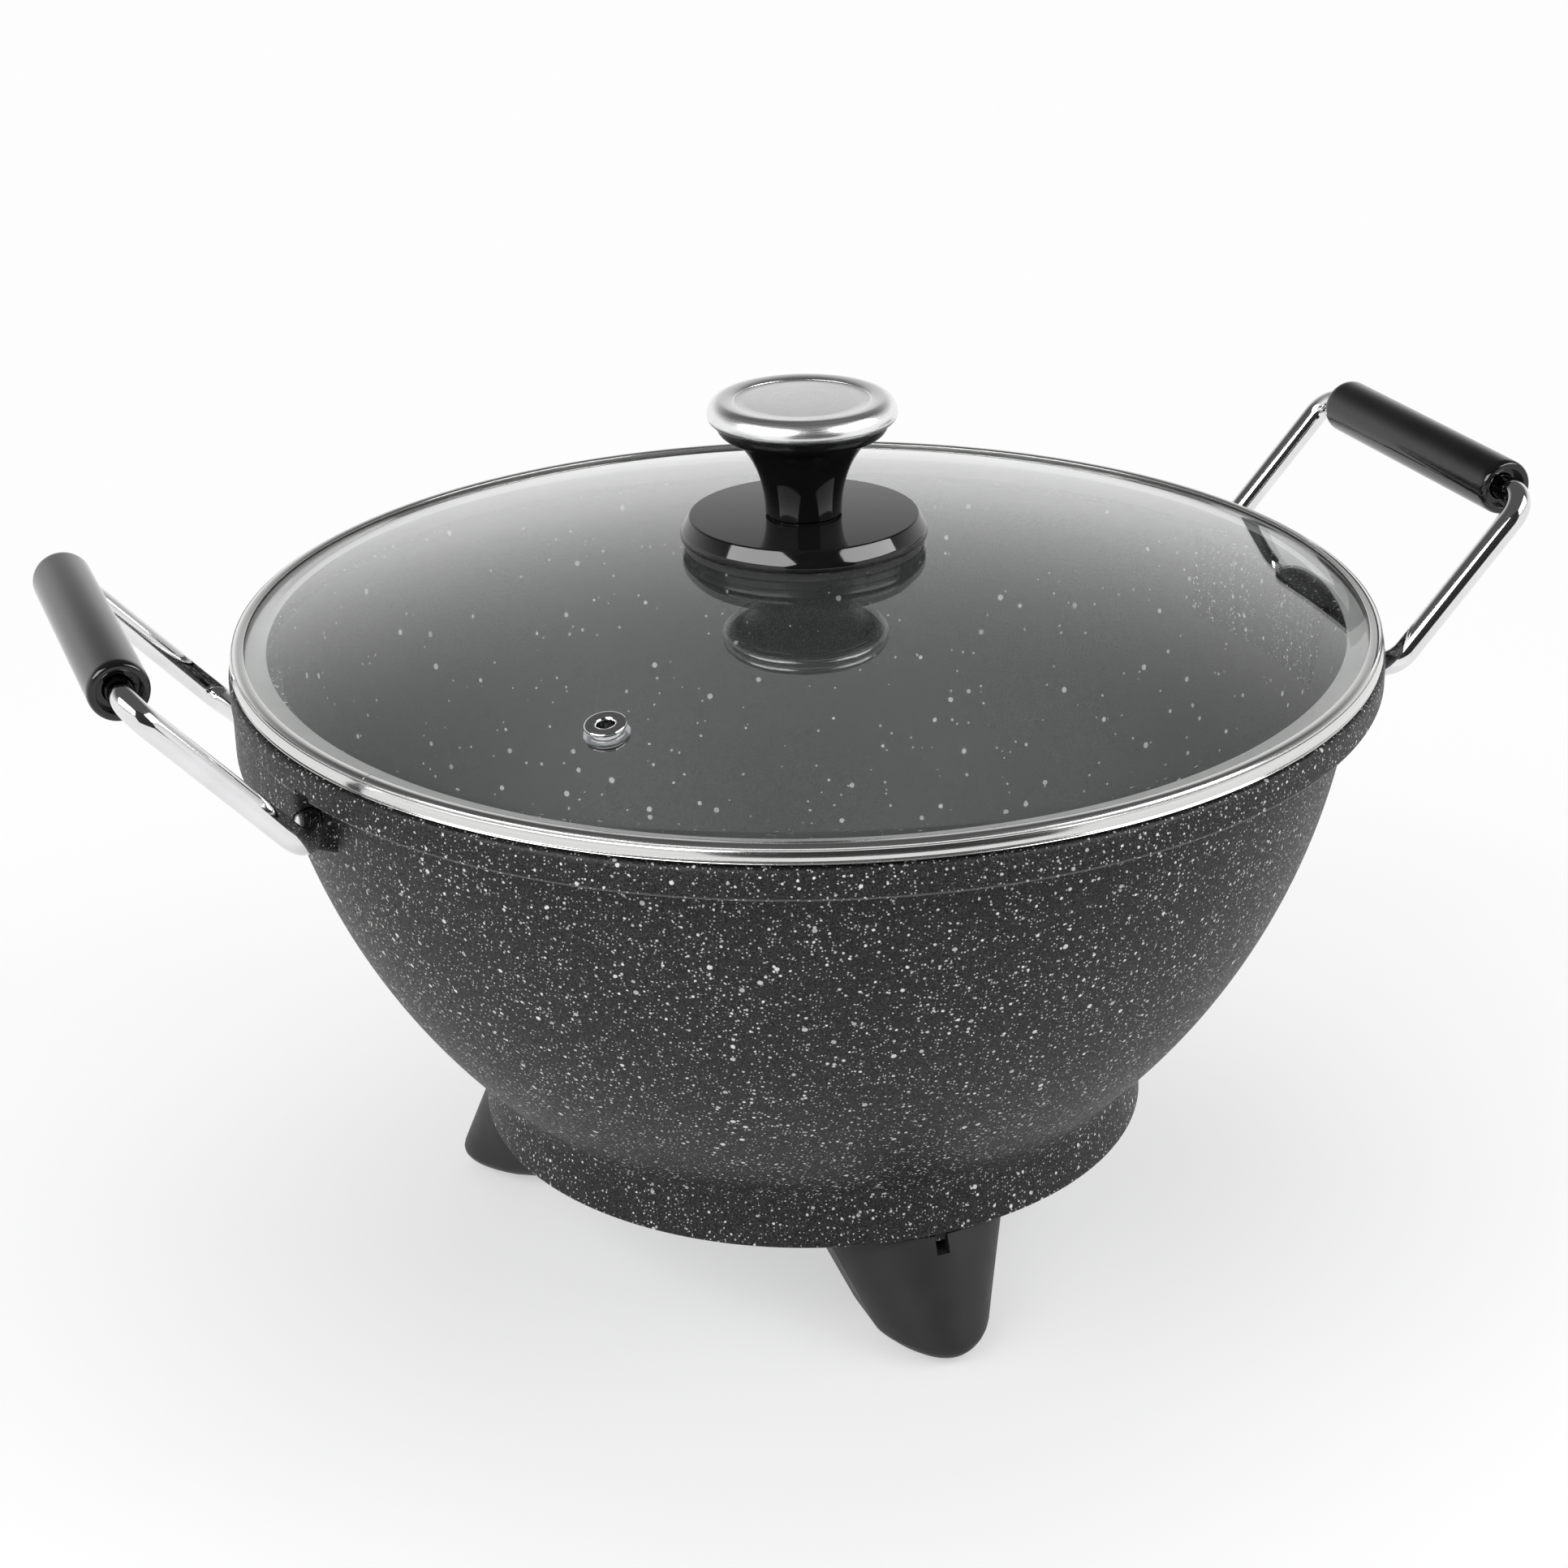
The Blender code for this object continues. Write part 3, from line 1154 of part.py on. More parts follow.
def build_knob(finishes):
    """The knob: gasket, base, stem and steel cap, held by a screw from under the glass."""
    hole = KNOB_SCREW_RADIUS + FIT
    radii = [
        GLASS_HOLE_RADIUS + (GASKET_RADIUS - GLASS_HOLE_RADIUS) * step / GASKET_STEPS
        for step in range(GASKET_STEPS + 1)
    ]
    gasket = [(radius, dome_height(radius) + FIT) for radius in radii]
    gasket += [(GASKET_RADIUS, GASKET_TOP), (GLASS_HOLE_RADIUS, GASKET_TOP)]
    turned("knob_gasket", gasket, finishes["silicone"], steps=KNOB_STEPS)

    base = softened(
        [
            (hole, KNOB_BASE_BOTTOM),
            (KNOB_BASE_RADIUS, KNOB_BASE_BOTTOM),
            (KNOB_BASE_RADIUS, KNOB_BASE_BOTTOM + KNOB_BASE_EDGE),
            (KNOB_BASE_TOP_RADIUS, KNOB_BASE_TOP),
            (hole, KNOB_BASE_TOP),
        ],
        [0, KNOB_BASE_SOFTENING, KNOB_BASE_EDGE / 2, KNOB_BASE_SOFTENING, 0],
        steps=2,
    )
    turned("knob_base", base, finishes["gloss_black"], steps=KNOB_STEPS)

    core_radius = CAP_RADIUS - CAP_WALL - FIT
    core_top = CAP_TOP - CAP_DISH_DEPTH - CAP_TOP_WALL - FIT
    stem = [(0, STEM_BOTTOM + KNOB_SCREW_BITE + FIT), (hole, STEM_BOTTOM + KNOB_SCREW_BITE + FIT)]
    stem += [(hole, STEM_BOTTOM), (STEM_FOOT_RADIUS - STEM_GROOVE, STEM_BOTTOM)]
    stem += [(STEM_FOOT_RADIUS - STEM_GROOVE, STEM_BOTTOM + STEM_GROOVE)]
    for step in range(STEM_STEPS + 1):
        turn = math.pi / 2 * step / STEM_STEPS
        radius = STEM_FOOT_RADIUS + STEM_FLARE * (1 - math.cos(turn))
        height = STEM_BOTTOM + STEM_GROOVE + (STEM_HEIGHT - STEM_GROOVE) * math.sin(turn)
        stem.append((min(radius, core_radius), height))
    stem += [(core_radius, CAP_BOTTOM), (core_radius, core_top), (0, core_top)]
    turned("knob_stem", stem, finishes["gloss_black"], closed=False, steps=KNOB_STEPS)

    build_knob_cap(finishes, core_radius + FIT, core_top + FIT)
    build_knob_fixing(finishes, hole)


def build_knob_cap(finishes, inner_radius, inner_top):
    """The steel cap: a rolled edge, a crown and a shallow dished top."""
    widest = CAP_BOTTOM + CAP_WIDEST_RISE
    shoulder = CAP_TOP - widest
    outline = [(0, inner_top), (inner_radius, inner_top), (inner_radius, CAP_BOTTOM)]
    outline.append((inner_radius + CAP_WALL / 3, CAP_BOTTOM))
    for step in range(CAP_STEPS + 1):
        turn = math.pi / 2 * step / CAP_STEPS
        radius = CAP_CROWN_RADIUS + (CAP_RADIUS - CAP_CROWN_RADIUS) * math.cos(turn)
        outline.append((radius, widest + shoulder * math.sin(turn)))
    dish_wall = (CAP_CROWN_RADIUS - CAP_DISH_RADIUS) / 3
    outline += [
        (CAP_DISH_RADIUS + dish_wall, CAP_TOP - CAP_DISH_DEPTH / 3),
        (CAP_DISH_RADIUS, CAP_TOP - CAP_DISH_DEPTH),
        (0, CAP_TOP - CAP_DISH_DEPTH),
    ]
    turned("knob_cap", outline, finishes["brushed_steel"], closed=False, steps=KNOB_STEPS)


def build_knob_fixing(finishes, hole):
    """Seal, washer and screw under the middle of the glass."""
    seal_top = DOME_TOP - GLASS_THICKNESS - FIT
    seal_bottom = seal_top - KNOB_SEAL_THICKNESS
    washer_top = seal_bottom - FIT
    washer_bottom = washer_top - KNOB_WASHER_THICKNESS
    head_top = washer_bottom - FIT
    head_bottom = head_top - KNOB_SCREW_HEAD_HEIGHT
    for name, radius, low, high, material in (
        ("knob_seal", KNOB_SEAL_RADIUS, seal_bottom, seal_top - FIT, "silicone"),
        ("knob_washer", KNOB_WASHER_RADIUS, washer_bottom, washer_top, "zinc_steel"),
    ):
        ring = [(hole, low), (radius, low), (radius, high), (hole, high)]
        turned(name, ring, finishes[material], steps=GRIP_STEPS)
    screw = softened(
        [
            (0, head_bottom),
            (KNOB_SCREW_HEAD_RADIUS, head_bottom),
            (KNOB_SCREW_HEAD_RADIUS, head_top),
            (KNOB_SCREW_RADIUS, head_top),
            (KNOB_SCREW_RADIUS, STEM_BOTTOM + KNOB_SCREW_BITE),
            (0, STEM_BOTTOM + KNOB_SCREW_BITE),
        ],
        [0, KNOB_SCREW_HEAD_HEIGHT / 2, 0, 0, 0, 0],
        closed=False,
    )
    turned("knob_screw", screw, finishes["zinc_steel"], closed=False, steps=SMALL_STEPS)
    group = helper_group("knob_screw_recess")
    cross_recess("knob_screw_cross", 0, 0, head_bottom + SCREW_CROSS_DEPTH, group)
    combine(bpy.data.objects["knob_screw"], group, "DIFFERENCE")


def main():
    """Build the wok."""
    clear_scene()
    finishes = make_finishes()
    build_bowl(finishes)
    build_handles(finishes)
    build_legs(finishes)
    build_screws(finishes)
    build_cover(finishes)
    build_heater(finishes)
    build_inlet(finishes)
    build_lid_glass(finishes)
    build_lid_rim(finishes)
    build_vent(finishes)
    build_knob(finishes)


main()
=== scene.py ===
"""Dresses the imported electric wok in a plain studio.

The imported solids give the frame. The pieces that show are made again with smooth forms and
procedural finishes, and the rest keep their solids and get a finish. Sizes are in metres.
"""

import json
import logging
import math
from abc import ABC, abstractmethod
from collections.abc import Iterable, Sequence
from dataclasses import dataclass
from enum import Enum

import bmesh
import bpy
from mathutils import Matrix, Vector

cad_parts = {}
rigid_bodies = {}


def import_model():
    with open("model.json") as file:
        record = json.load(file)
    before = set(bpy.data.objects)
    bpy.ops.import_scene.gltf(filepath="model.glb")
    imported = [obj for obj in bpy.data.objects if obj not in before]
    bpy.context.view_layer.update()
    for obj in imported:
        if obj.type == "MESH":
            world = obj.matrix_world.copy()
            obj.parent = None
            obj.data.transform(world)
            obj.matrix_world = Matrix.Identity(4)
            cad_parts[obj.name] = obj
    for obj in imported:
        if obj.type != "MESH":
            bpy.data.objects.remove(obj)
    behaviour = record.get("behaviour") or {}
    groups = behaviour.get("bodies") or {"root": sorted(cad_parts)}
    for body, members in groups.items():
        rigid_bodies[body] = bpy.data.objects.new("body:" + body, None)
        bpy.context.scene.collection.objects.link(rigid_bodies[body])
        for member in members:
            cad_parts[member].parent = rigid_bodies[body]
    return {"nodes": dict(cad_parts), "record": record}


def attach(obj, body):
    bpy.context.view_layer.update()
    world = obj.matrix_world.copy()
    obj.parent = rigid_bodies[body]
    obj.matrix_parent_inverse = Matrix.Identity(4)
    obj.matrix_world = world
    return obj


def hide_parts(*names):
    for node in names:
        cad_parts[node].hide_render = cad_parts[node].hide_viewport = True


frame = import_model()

LOG = logging.getLogger("electric_wok")
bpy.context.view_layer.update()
SOLDER = 1e-6
OVERRUN = 0.004
SHARP_ANGLE = math.radians(38)
FULL_TURN = 2 * math.pi
LEFT_AND_RIGHT = (-1, 1)
LEG_ANGLES = {
    "front": math.radians(-90),
    "rear_left": math.radians(150),
    "rear_right": math.radians(30),
}


class Body(Enum):
    """The bodies that move apart."""

    COOKER = "cooker"
    LID = "lid"
    LEFT_GRIP = "left_grip"
    RIGHT_GRIP = "right_grip"


class Slot(Enum):
    """The record's finish slots."""

    COATING = "speckled_coating"
    GLOSS_BLACK = "gloss_black"
    SATIN_BLACK = "satin_black"
    CHROME = "chrome"
    POLISHED = "polished_steel"
    BRUSHED = "brushed_steel"
    ZINC = "zinc_steel"
    GLASS = "glass"
    SILICONE = "silicone"
    RUBBER = "rubber"
    CERAMIC = "ceramic"
    SHEATH = "sheath"


class Join(Enum):
    """How one form is combined with others."""

    ADD = "UNION"
    CUT = "DIFFERENCE"


# Forms


def softened(
    points: Sequence[Sequence[float]], cuts: Sequence[float], closed: bool = True, steps: int = 6
) -> list[Vector]:
    """Round the corners of an outline.

    Args:
        points: the outline's corners.
        cuts: for each corner, how far back along its sides the curve starts.
        closed: whether the last corner joins the first.
        steps: spans in each rounded corner.

    Returns:
        The rounded outline.
    """
    rounded: list[Vector] = []
    count = len(points)
    for index, (point, cut) in enumerate(zip(points, cuts)):
        here = Vector(point)
        at_end = not closed and index in (0, count - 1)
        if cut == 0 or at_end:
            rounded.append(here)
            continue
        before = Vector(points[index - 1]) - here
        after = Vector(points[(index + 1) % count]) - here
        start = here + before.normalized() * min(cut, before.length / 2)
        end = here + after.normalized() * min(cut, after.length / 2)
        for step in range(steps + 1):
            t = step / steps
            rounded.append(start * (1 - t) ** 2 + here * 2 * t * (1 - t) + end * t**2)
    return rounded


def arc(centre: Vector, radius: float, start: float, end: float, steps: int) -> list[Vector]:
    """Points along an arc in the outline's plane.

    Args:
        centre: the arc's centre.
        radius: its radius.
        start: first angle.
        end: last angle.
        steps: spans between them.

    Returns:
        The points, both ends included.
    """
    points = []
    for step in range(steps + 1):
        angle = start + (end - start) * step / steps
        points.append(centre + Vector((math.cos(angle), math.sin(angle))) * radius)
    return points


def oval_arc(
    centre: Sequence[float], across: float, up: float, start: float, end: float, steps: int
) -> list[Vector]:
    """Points along an arc of an ellipse, with the same arguments as an arc but two radii.

    Args:
        centre: the ellipse's centre.
        across: radius along the first axis.
        up: radius along the second axis.
        start: first angle.
        end: last angle.
        steps: spans between them.

    Returns:
        The points, both ends included.
    """
    middle = Vector(centre)
    points = []
    for step in range(steps + 1):
        angle = start + (end - start) * step / steps
        points.append(middle + Vector((across * math.cos(angle), up * math.sin(angle))))
    return points


def spun(outline: Sequence[Sequence[float]], closed: bool, steps: int) -> bmesh.types.BMesh:
    """Turn an outline of (radius, height) points about Z.

    Args:
        outline: the points. An open outline starts and ends on the axis.
        closed: whether the last point joins the first.
        steps: facets round the turn.

    Returns:
        The closed form.
    """
    bm = bmesh.new()
    rim = [bm.verts.new((radius, 0, height)) for radius, height in outline]
    pairs = list(zip(rim, rim[1:]))
    if closed:
        pairs.append((rim[-1], rim[0]))
    edges = [bm.edges.new(pair) for pair in pairs]
    bmesh.ops.spin(
        bm,
        geom=rim + edges,
        cent=(0, 0, 0),
        axis=(0, 0, 1),
        angle=FULL_TURN,
        steps=steps,
        use_merge=True,
    )
    bmesh.ops.remove_doubles(bm, verts=bm.verts, dist=SOLDER)
    bmesh.ops.recalc_face_normals(bm, faces=bm.faces)
    return bm


def block(low: Sequence[float], high: Sequence[float], soft: float = 0.0) -> bmesh.types.BMesh:
    """A box between two corners.

    Args:
        low: lowest corner.
        high: highest corner.
        soft: radius of its edges, or nothing for sharp ones.

    Returns:
        The form.
    """
    bm = bmesh.new()
    bmesh.ops.create_cube(bm, size=1)
    bmesh.ops.scale(bm, vec=Vector(high) - Vector(low), verts=bm.verts)
    bmesh.ops.translate(bm, vec=(Vector(low) + Vector(high)) / 2, verts=bm.verts)
    if soft:
        bmesh.ops.bevel(
            bm, geom=bm.edges[:], offset=soft, affect="EDGES", segments=3, profile=0.5, material=-1
        )
    return bm


def bar(
    start: Sequence[float], end: Sequence[float], radius: float, steps: int = 32
) -> bmesh.types.BMesh:
    """A round bar from one point to another.

    Args:
        start: centre of one end.
        end: centre of the other.
        radius: the bar's radius.
        steps: facets round it.

    Returns:
        The form.
    """
    along = Vector(end) - Vector(start)
    bm = bmesh.new()
    bmesh.ops.create_cone(
        bm, cap_ends=True, segments=steps, radius1=radius, radius2=radius, depth=along.length
    )
    turn = Vector((0, 0, 1)).rotation_difference(along).to_matrix().to_4x4()
    middle = Matrix.Translation((Vector(start) + Vector(end)) / 2)
    bmesh.ops.transform(bm, matrix=middle @ turn, verts=bm.verts)
    return bm


def lofted(sections: Sequence[Sequence[Sequence[float]]]) -> bmesh.types.BMesh:
    """Skin closed loops of points and close both ends.

    Args:
        sections: the loops, all with the same count of points.

    Returns:
        The closed form.
    """
    bm = bmesh.new()
    loops = []
    for section in sections:
        ring = [bm.verts.new(point) for point in section]
        loops.append([bm.edges.new(pair) for pair in zip(ring, ring[1:] + ring[:1])])
    for below, above in zip(loops, loops[1:]):
        bmesh.ops.bridge_loops(bm, edges=below + above)
    for ends in (loops[0], loops[-1]):
        bmesh.ops.contextual_create(bm, geom=ends)
    bmesh.ops.recalc_face_normals(bm, faces=bm.faces)
    return bm


def bent_path(
    corners: Sequence[Vector], radius: float, bend_steps: int, span: float
) -> list[Vector]:
    """A path through straight runs whose corners are true arcs.

    Args:
        corners: where the runs would meet.
        radius: radius of each bend.
        bend_steps: spans in each bend.
        span: longest span of a straight run.

    Returns:
        The path's points.
    """
    knots = [corners[0]]
    for before, corner, after in zip(corners, corners[1:], corners[2:]):
        inward = (before - corner).normalized()
        outward = (after - corner).normalized()
        half = inward.angle(outward) / 2
        centre = corner + (inward + outward).normalized() * (radius / math.sin(half))
        start = corner + inward * (radius / math.tan(half)) - centre
        end = corner + outward * (radius / math.tan(half)) - centre
        sweep = start.angle(end)
        for step in range(bend_steps + 1):
            part = step / bend_steps
            turn = math.sin((1 - part) * sweep) * start + math.sin(part * sweep) * end
            knots.append(centre + turn / math.sin(sweep))
    knots.append(corners[-1])
    path = [knots[0]]
    for knot in knots[1:]:
        begin = path[-1]
        count = max(1, math.ceil((knot - begin).length / span))
        path += [begin.lerp(knot, step / count) for step in range(1, count + 1)]
    return path


def tube(path: Sequence[Vector], radius: float, sides: int) -> bmesh.types.BMesh:
    """A solid round wire along a path, made of rings that are bridged.

    Args:
        path: the wire's centre line.
        radius: the wire's radius.
        sides: facets round it.

    Returns:
        The closed form.
    """
    sections = []
    facing = (path[1] - path[0]).normalized()
    frame_turn = Vector((0, 0, 1)).rotation_difference(facing).to_matrix()
    across, upward = frame_turn.col[0].copy(), frame_turn.col[1].copy()
    for index, place in enumerate(path):
        ahead = path[min(index + 1, len(path) - 1)] - path[max(index - 1, 0)]
        turn = facing.rotation_difference(ahead.normalized())
        facing = ahead.normalized()
        across.rotate(turn)
        upward.rotate(turn)
        ring = []
        for step in range(sides):
            angle = FULL_TURN * step / sides
            ring.append(place + (across * math.cos(angle) + upward * math.sin(angle)) * radius)
        sections.append(ring)
    return lofted(sections)


def as_object(
    name: str, bm: bmesh.types.BMesh, finishes: Iterable[bpy.types.Material] = ()
) -> bpy.types.Object:
    """Turn a form into an object whose place is in its mesh.

    Args:
        name: the object's name.
        bm: the form, which is used up.
        finishes: its materials, the first for every face that isn't set otherwise.

    Returns:
        The object.
    """
    mesh = bpy.data.meshes.new(name)
    bm.to_mesh(mesh)
    bm.free()
    obj = bpy.data.objects.new(name, mesh)
    bpy.context.scene.collection.objects.link(obj)
    for material in finishes:
        mesh.materials.append(material)
    return obj


def smoothed(obj: bpy.types.Object, angle: float = SHARP_ANGLE) -> bpy.types.Object:
    """Shade an object smooth, with edges sharper than an angle kept crisp."""
    obj.data.shade_smooth()
    obj.data.set_sharp_from_angle(angle=angle)
    return obj


def combined(
    obj: bpy.types.Object, join: Join, forms: Iterable[bmesh.types.BMesh]
) -> bpy.types.Object:
    """Add forms to an object or cut them out of it, and keep the result as its mesh.

    Args:
        obj: the object that is changed.
        join: whether to add or to cut.
        forms: the other forms, which are used up.

    Returns:
        The same object.
    """
    group = bpy.data.collections.new(f"{obj.name}_{join.name.lower()}")
    bpy.context.scene.collection.children.link(group)
    for index, form in enumerate(forms):
        helper = as_object(f"{group.name}_{index}", form)
        bpy.context.scene.collection.objects.unlink(helper)
        group.objects.link(helper)
    modifier = obj.modifiers.new(join.name, "BOOLEAN")
    modifier.operation = join.value
    modifier.solver = "EXACT"
    modifier.operand_type = "COLLECTION"
    modifier.collection = group
    graph = bpy.context.evaluated_depsgraph_get()
    made = bpy.data.meshes.new_from_object(obj.evaluated_get(graph))
    obj.modifiers.clear()
    old = obj.data
    obj.data = made
    made.name = obj.name
    bpy.data.meshes.remove(old)
    for helper in list(group.objects):
        bpy.data.objects.remove(helper, do_unlink=True)
    bpy.data.collections.remove(group)
    return obj


def settle(obj: bpy.types.Object, body: Body, slot: Slot, *nodes: str) -> bpy.types.Object:
    """Hand a finished piece to its body.

    Args:
        obj: the piece.
        body: the body that carries it.
        slot: the record's slot of its finish; not used.
        nodes: the solids that it stands for.

    Returns:
        The same piece.
    """
    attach(obj, body.value)
    if nodes:
        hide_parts(*nodes)
    LOG.info("%s: %d faces on %s", obj.name, len(obj.data.polygons), body.value)
    return obj


# Finishes


@dataclass
class Graph:
    """A material's node tree, with short calls that add and link nodes."""

    material: bpy.types.Material

    def add(self, kind: str, values: dict | None = None, **settings: object) -> bpy.types.Node:
        """Add a node.

        Args:
            kind: the node's type.
            values: for each input, by name or number, a value or the socket that feeds it.
            settings: the node's own properties.

        Returns:
            The node.
        """
        node = self.material.node_tree.nodes.new(kind)
        for key, value in settings.items():
            setattr(node, key, value)
        for key, value in (values or {}).items():
            if isinstance(value, bpy.types.NodeSocket):
                self.material.node_tree.links.new(value, node.inputs[key])
            else:
                node.inputs[key].default_value = value
        return node

    def place(self) -> bpy.types.NodeSocket:
        """The place on the object, in metres."""
        return self.add("ShaderNodeTexCoord").outputs["Object"]

    def math(self, operation: str, *values: object) -> bpy.types.NodeSocket:
        """One step of arithmetic on numbers or sockets."""
        return self.add("ShaderNodeMath", dict(enumerate(values)), operation=operation).outputs[0]

    def noise(
        self, place: bpy.types.NodeSocket, scale: float, detail: float = 2.0
    ) -> bpy.types.NodeSocket:
        """Soft noise with a number of waves to the metre."""
        node = self.add("ShaderNodeTexNoise", {"Vector": place, "Scale": scale, "Detail": detail})
        return node.outputs["Fac"]

    def spread(
        self, value: object, low: float, high: float, to_low: float, to_high: float
    ) -> bpy.types.NodeSocket:
        """Map a range of one value onto another range, smoothly and within its ends."""
        ends = {"Value": value, "From Min": low, "From Max": high, "To Min": to_low, "To Max": to_high}
        node = self.add("ShaderNodeMapRange", ends, interpolation_type="SMOOTHSTEP")
        return node.outputs["Result"]

    def blend(self, factor: object, first: object, second: object) -> bpy.types.NodeSocket:
        """Mix two colours."""
        node = self.add("ShaderNodeMix", data_type="RGBA")
        for number, value in ((0, factor), (6, first), (7, second)):
            if isinstance(value, bpy.types.NodeSocket):
                self.material.node_tree.links.new(value, node.inputs[number])
            else:
                node.inputs[number].default_value = value
        return node.outputs[2]

    def bump(
        self, height: bpy.types.NodeSocket, distance: float, strength: float = 1.0
    ) -> bpy.types.NodeSocket:
        """A surface normal raised by a height."""
        return self.add(
            "ShaderNodeBump", {"Height": height, "Distance": distance, "Strength": strength}
        ).outputs["Normal"]

    def principled(self, **values: object) -> bpy.types.Node:
        """Set up the material's shader.

        Args:
            values: its inputs by name, with underscores for spaces.

        Returns:
            The shader node.
        """
        shader = self.material.node_tree.nodes["Principled BSDF"]
        for key, value in values.items():
            name = key.replace("_", " ")
            if isinstance(value, bpy.types.NodeSocket):
                self.material.node_tree.links.new(value, shader.inputs[name])
            else:
                shader.inputs[name].default_value = value
        return shader


def grey(level: float, warmth: float = 0.0) -> tuple[float, float, float, float]:
    """A grey of one level, a little warm or cool."""
    return (level * (1 + warmth), level, level * (1 - warmth), 1.0)


@dataclass(frozen=True)
class Finish(ABC):
    """A finish that paints itself into a material once."""

    name: str

    def material(self) -> bpy.types.Material:
        """The finish's material, made on first use."""
        known = bpy.data.materials.get(self.name)
        if known:
            return known
        made = bpy.data.materials.new(self.name)
        made.use_nodes = True
        self.paint(Graph(made))
        return made

    @abstractmethod
    def paint(self, graph: Graph) -> None:
        """Fill the material's node tree."""


@dataclass(frozen=True)
class Flecks:
    """One size of flecks in the coating.

    The cells are as far apart as the spacing. A cell holds a fleck when its random number is over
    the rarity, and the fleck's radius is at most the radius.
    """

    spacing: float
    radius: float
    rarity: float
    strength: float


@dataclass(frozen=True)
class SpeckledCoating(Finish):
    """Dark non-stick coating with a fine grain, pale flecks of several sizes and an optional painted
    highlight along the flange's lower edge.
    """

    base: float = 0.004
    grain: float = 0.030
    roughness: float = 0.50
    shine: float = 0.25
    # height of a painted highlight line along the flange's lower edge, nothing for none
    painted_highlight_height: float = 0.0
    edge_width: float = 0.00045
    edge_reach: float = 0.1790
    edge_level: float = 0.06
    fleck_level: float = 0.72
    fleck_softness: float = 0.22
    grain_scale: float = 1900.0
    cloud_scale: float = 14.0
    waver_scale: float = 1500.0
    waver_reach: float = 0.00045
    relief_scale: float = 1400.0
    relief_height: float = 0.00012
    relief_strength: float = 0.55
    sheen_scale: float = 900.0
    sheen_change: float = 0.08
    flecks: tuple[Flecks, ...] = ()

    def fleck_mask(
        self, graph: Graph, place: bpy.types.NodeSocket, layer: Flecks
    ) -> bpy.types.NodeSocket:
        """How much of one layer's flecks covers each place.

        Args:
            graph: the material's nodes.
            place: the wavered place on the object.
            layer: the flecks' sizes.

        Returns:
            The cover, from 0 to the layer's strength.
        """
        cells = graph.add("ShaderNodeTexVoronoi", {"Vector": place, "Scale": 1 / layer.spacing})
        chance = graph.add("ShaderNodeSeparateColor", {"Color": cells.outputs["Color"]})
        largest = layer.radius / layer.spacing
        size = graph.spread(chance.outputs["Red"], layer.rarity, 1.0, 0.0, largest)
        inside = graph.math("SUBTRACT", size, cells.outputs["Distance"])
        cover = graph.spread(inside, 0.0, self.fleck_softness * largest, 0.0, layer.strength)
        shade = graph.spread(chance.outputs["Green"], 0.0, 1.0, 0.55, 1.0)
        return graph.math("MULTIPLY", cover, shade)

    def painted_edge_highlight(self, graph: Graph, place: bpy.types.NodeSocket) -> bpy.types.NodeSocket:
        """A painted highlight: how much paler the coating is painted along the flange's lower edge,
        where its rounded edge catches the light.

        Args:
            graph: the material's nodes.
            place: the place on the object.

        Returns:
            The added level, nothing away from the edge.
        """
        axes = graph.add("ShaderNodeSeparateXYZ", {"Vector": place}).outputs
        flat = graph.add("ShaderNodeCombineXYZ", {"X": axes["X"], "Y": axes["Y"]})
        length = graph.add("ShaderNodeVectorMath", {0: flat.outputs[0]}, operation="LENGTH")
        reach = length.outputs["Value"]
        off = graph.math("ABSOLUTE", graph.math("SUBTRACT", axes["Z"], self.painted_highlight_height))
        near = graph.spread(off, self.edge_width / 2, self.edge_width, self.edge_level, 0.0)
        return graph.math("MULTIPLY", near, graph.math("GREATER_THAN", reach, self.edge_reach))

    def paint(self, graph: Graph) -> None:
        """Fill the material's node tree."""
        place = graph.place()
        waver = graph.add(
            "ShaderNodeTexNoise", {"Vector": place, "Scale": self.waver_scale, "Detail": 1.0}
        )
        push = graph.add(
            "ShaderNodeVectorMath",
            {0: waver.outputs["Color"], "Scale": self.waver_reach},
            operation="SCALE",
        )
        moved = graph.add("ShaderNodeVectorMath", {0: place, 1: push.outputs[0]}, operation="ADD")
        cover: object = 0.0
        for layer in self.flecks:
            cover = graph.math("MAXIMUM", cover, self.fleck_mask(graph, moved.outputs[0], layer))
        fine = graph.noise(place, self.grain_scale, 2.0)
        cloud = graph.noise(place, self.cloud_scale, 3.0)
        level = graph.spread(fine, 0.38, 0.68, self.base * 0.5, self.base + self.grain)
        level = graph.math("MULTIPLY", level, graph.spread(cloud, 0.3, 0.7, 0.9, 1.1))
        # painted highlight: a paler line along the flange's lower edge, where its rounded edge catches
        # the light
        if self.painted_highlight_height:
            level = graph.math("ADD", level, self.painted_edge_highlight(graph, place))
        tint = graph.add("ShaderNodeCombineColor", {"Red": level, "Green": level, "Blue": level})
        colour = graph.blend(cover, tint.outputs[0], grey(self.fleck_level, 0.01))
        raised = graph.math("MULTIPLY", cover, 0.5)
        height = graph.math("ADD", graph.noise(place, self.relief_scale, 2.0), raised)
        shiniest, dullest = self.roughness - self.sheen_change, self.roughness + self.sheen_change
        rough = graph.spread(graph.noise(place, self.sheen_scale, 2.0), 0.3, 0.7, shiniest, dullest)
        graph.principled(
            Base_Color=colour,
            Roughness=rough,
            Normal=graph.bump(height, self.relief_height, self.relief_strength),
            Specular_IOR_Level=self.shine,
        )


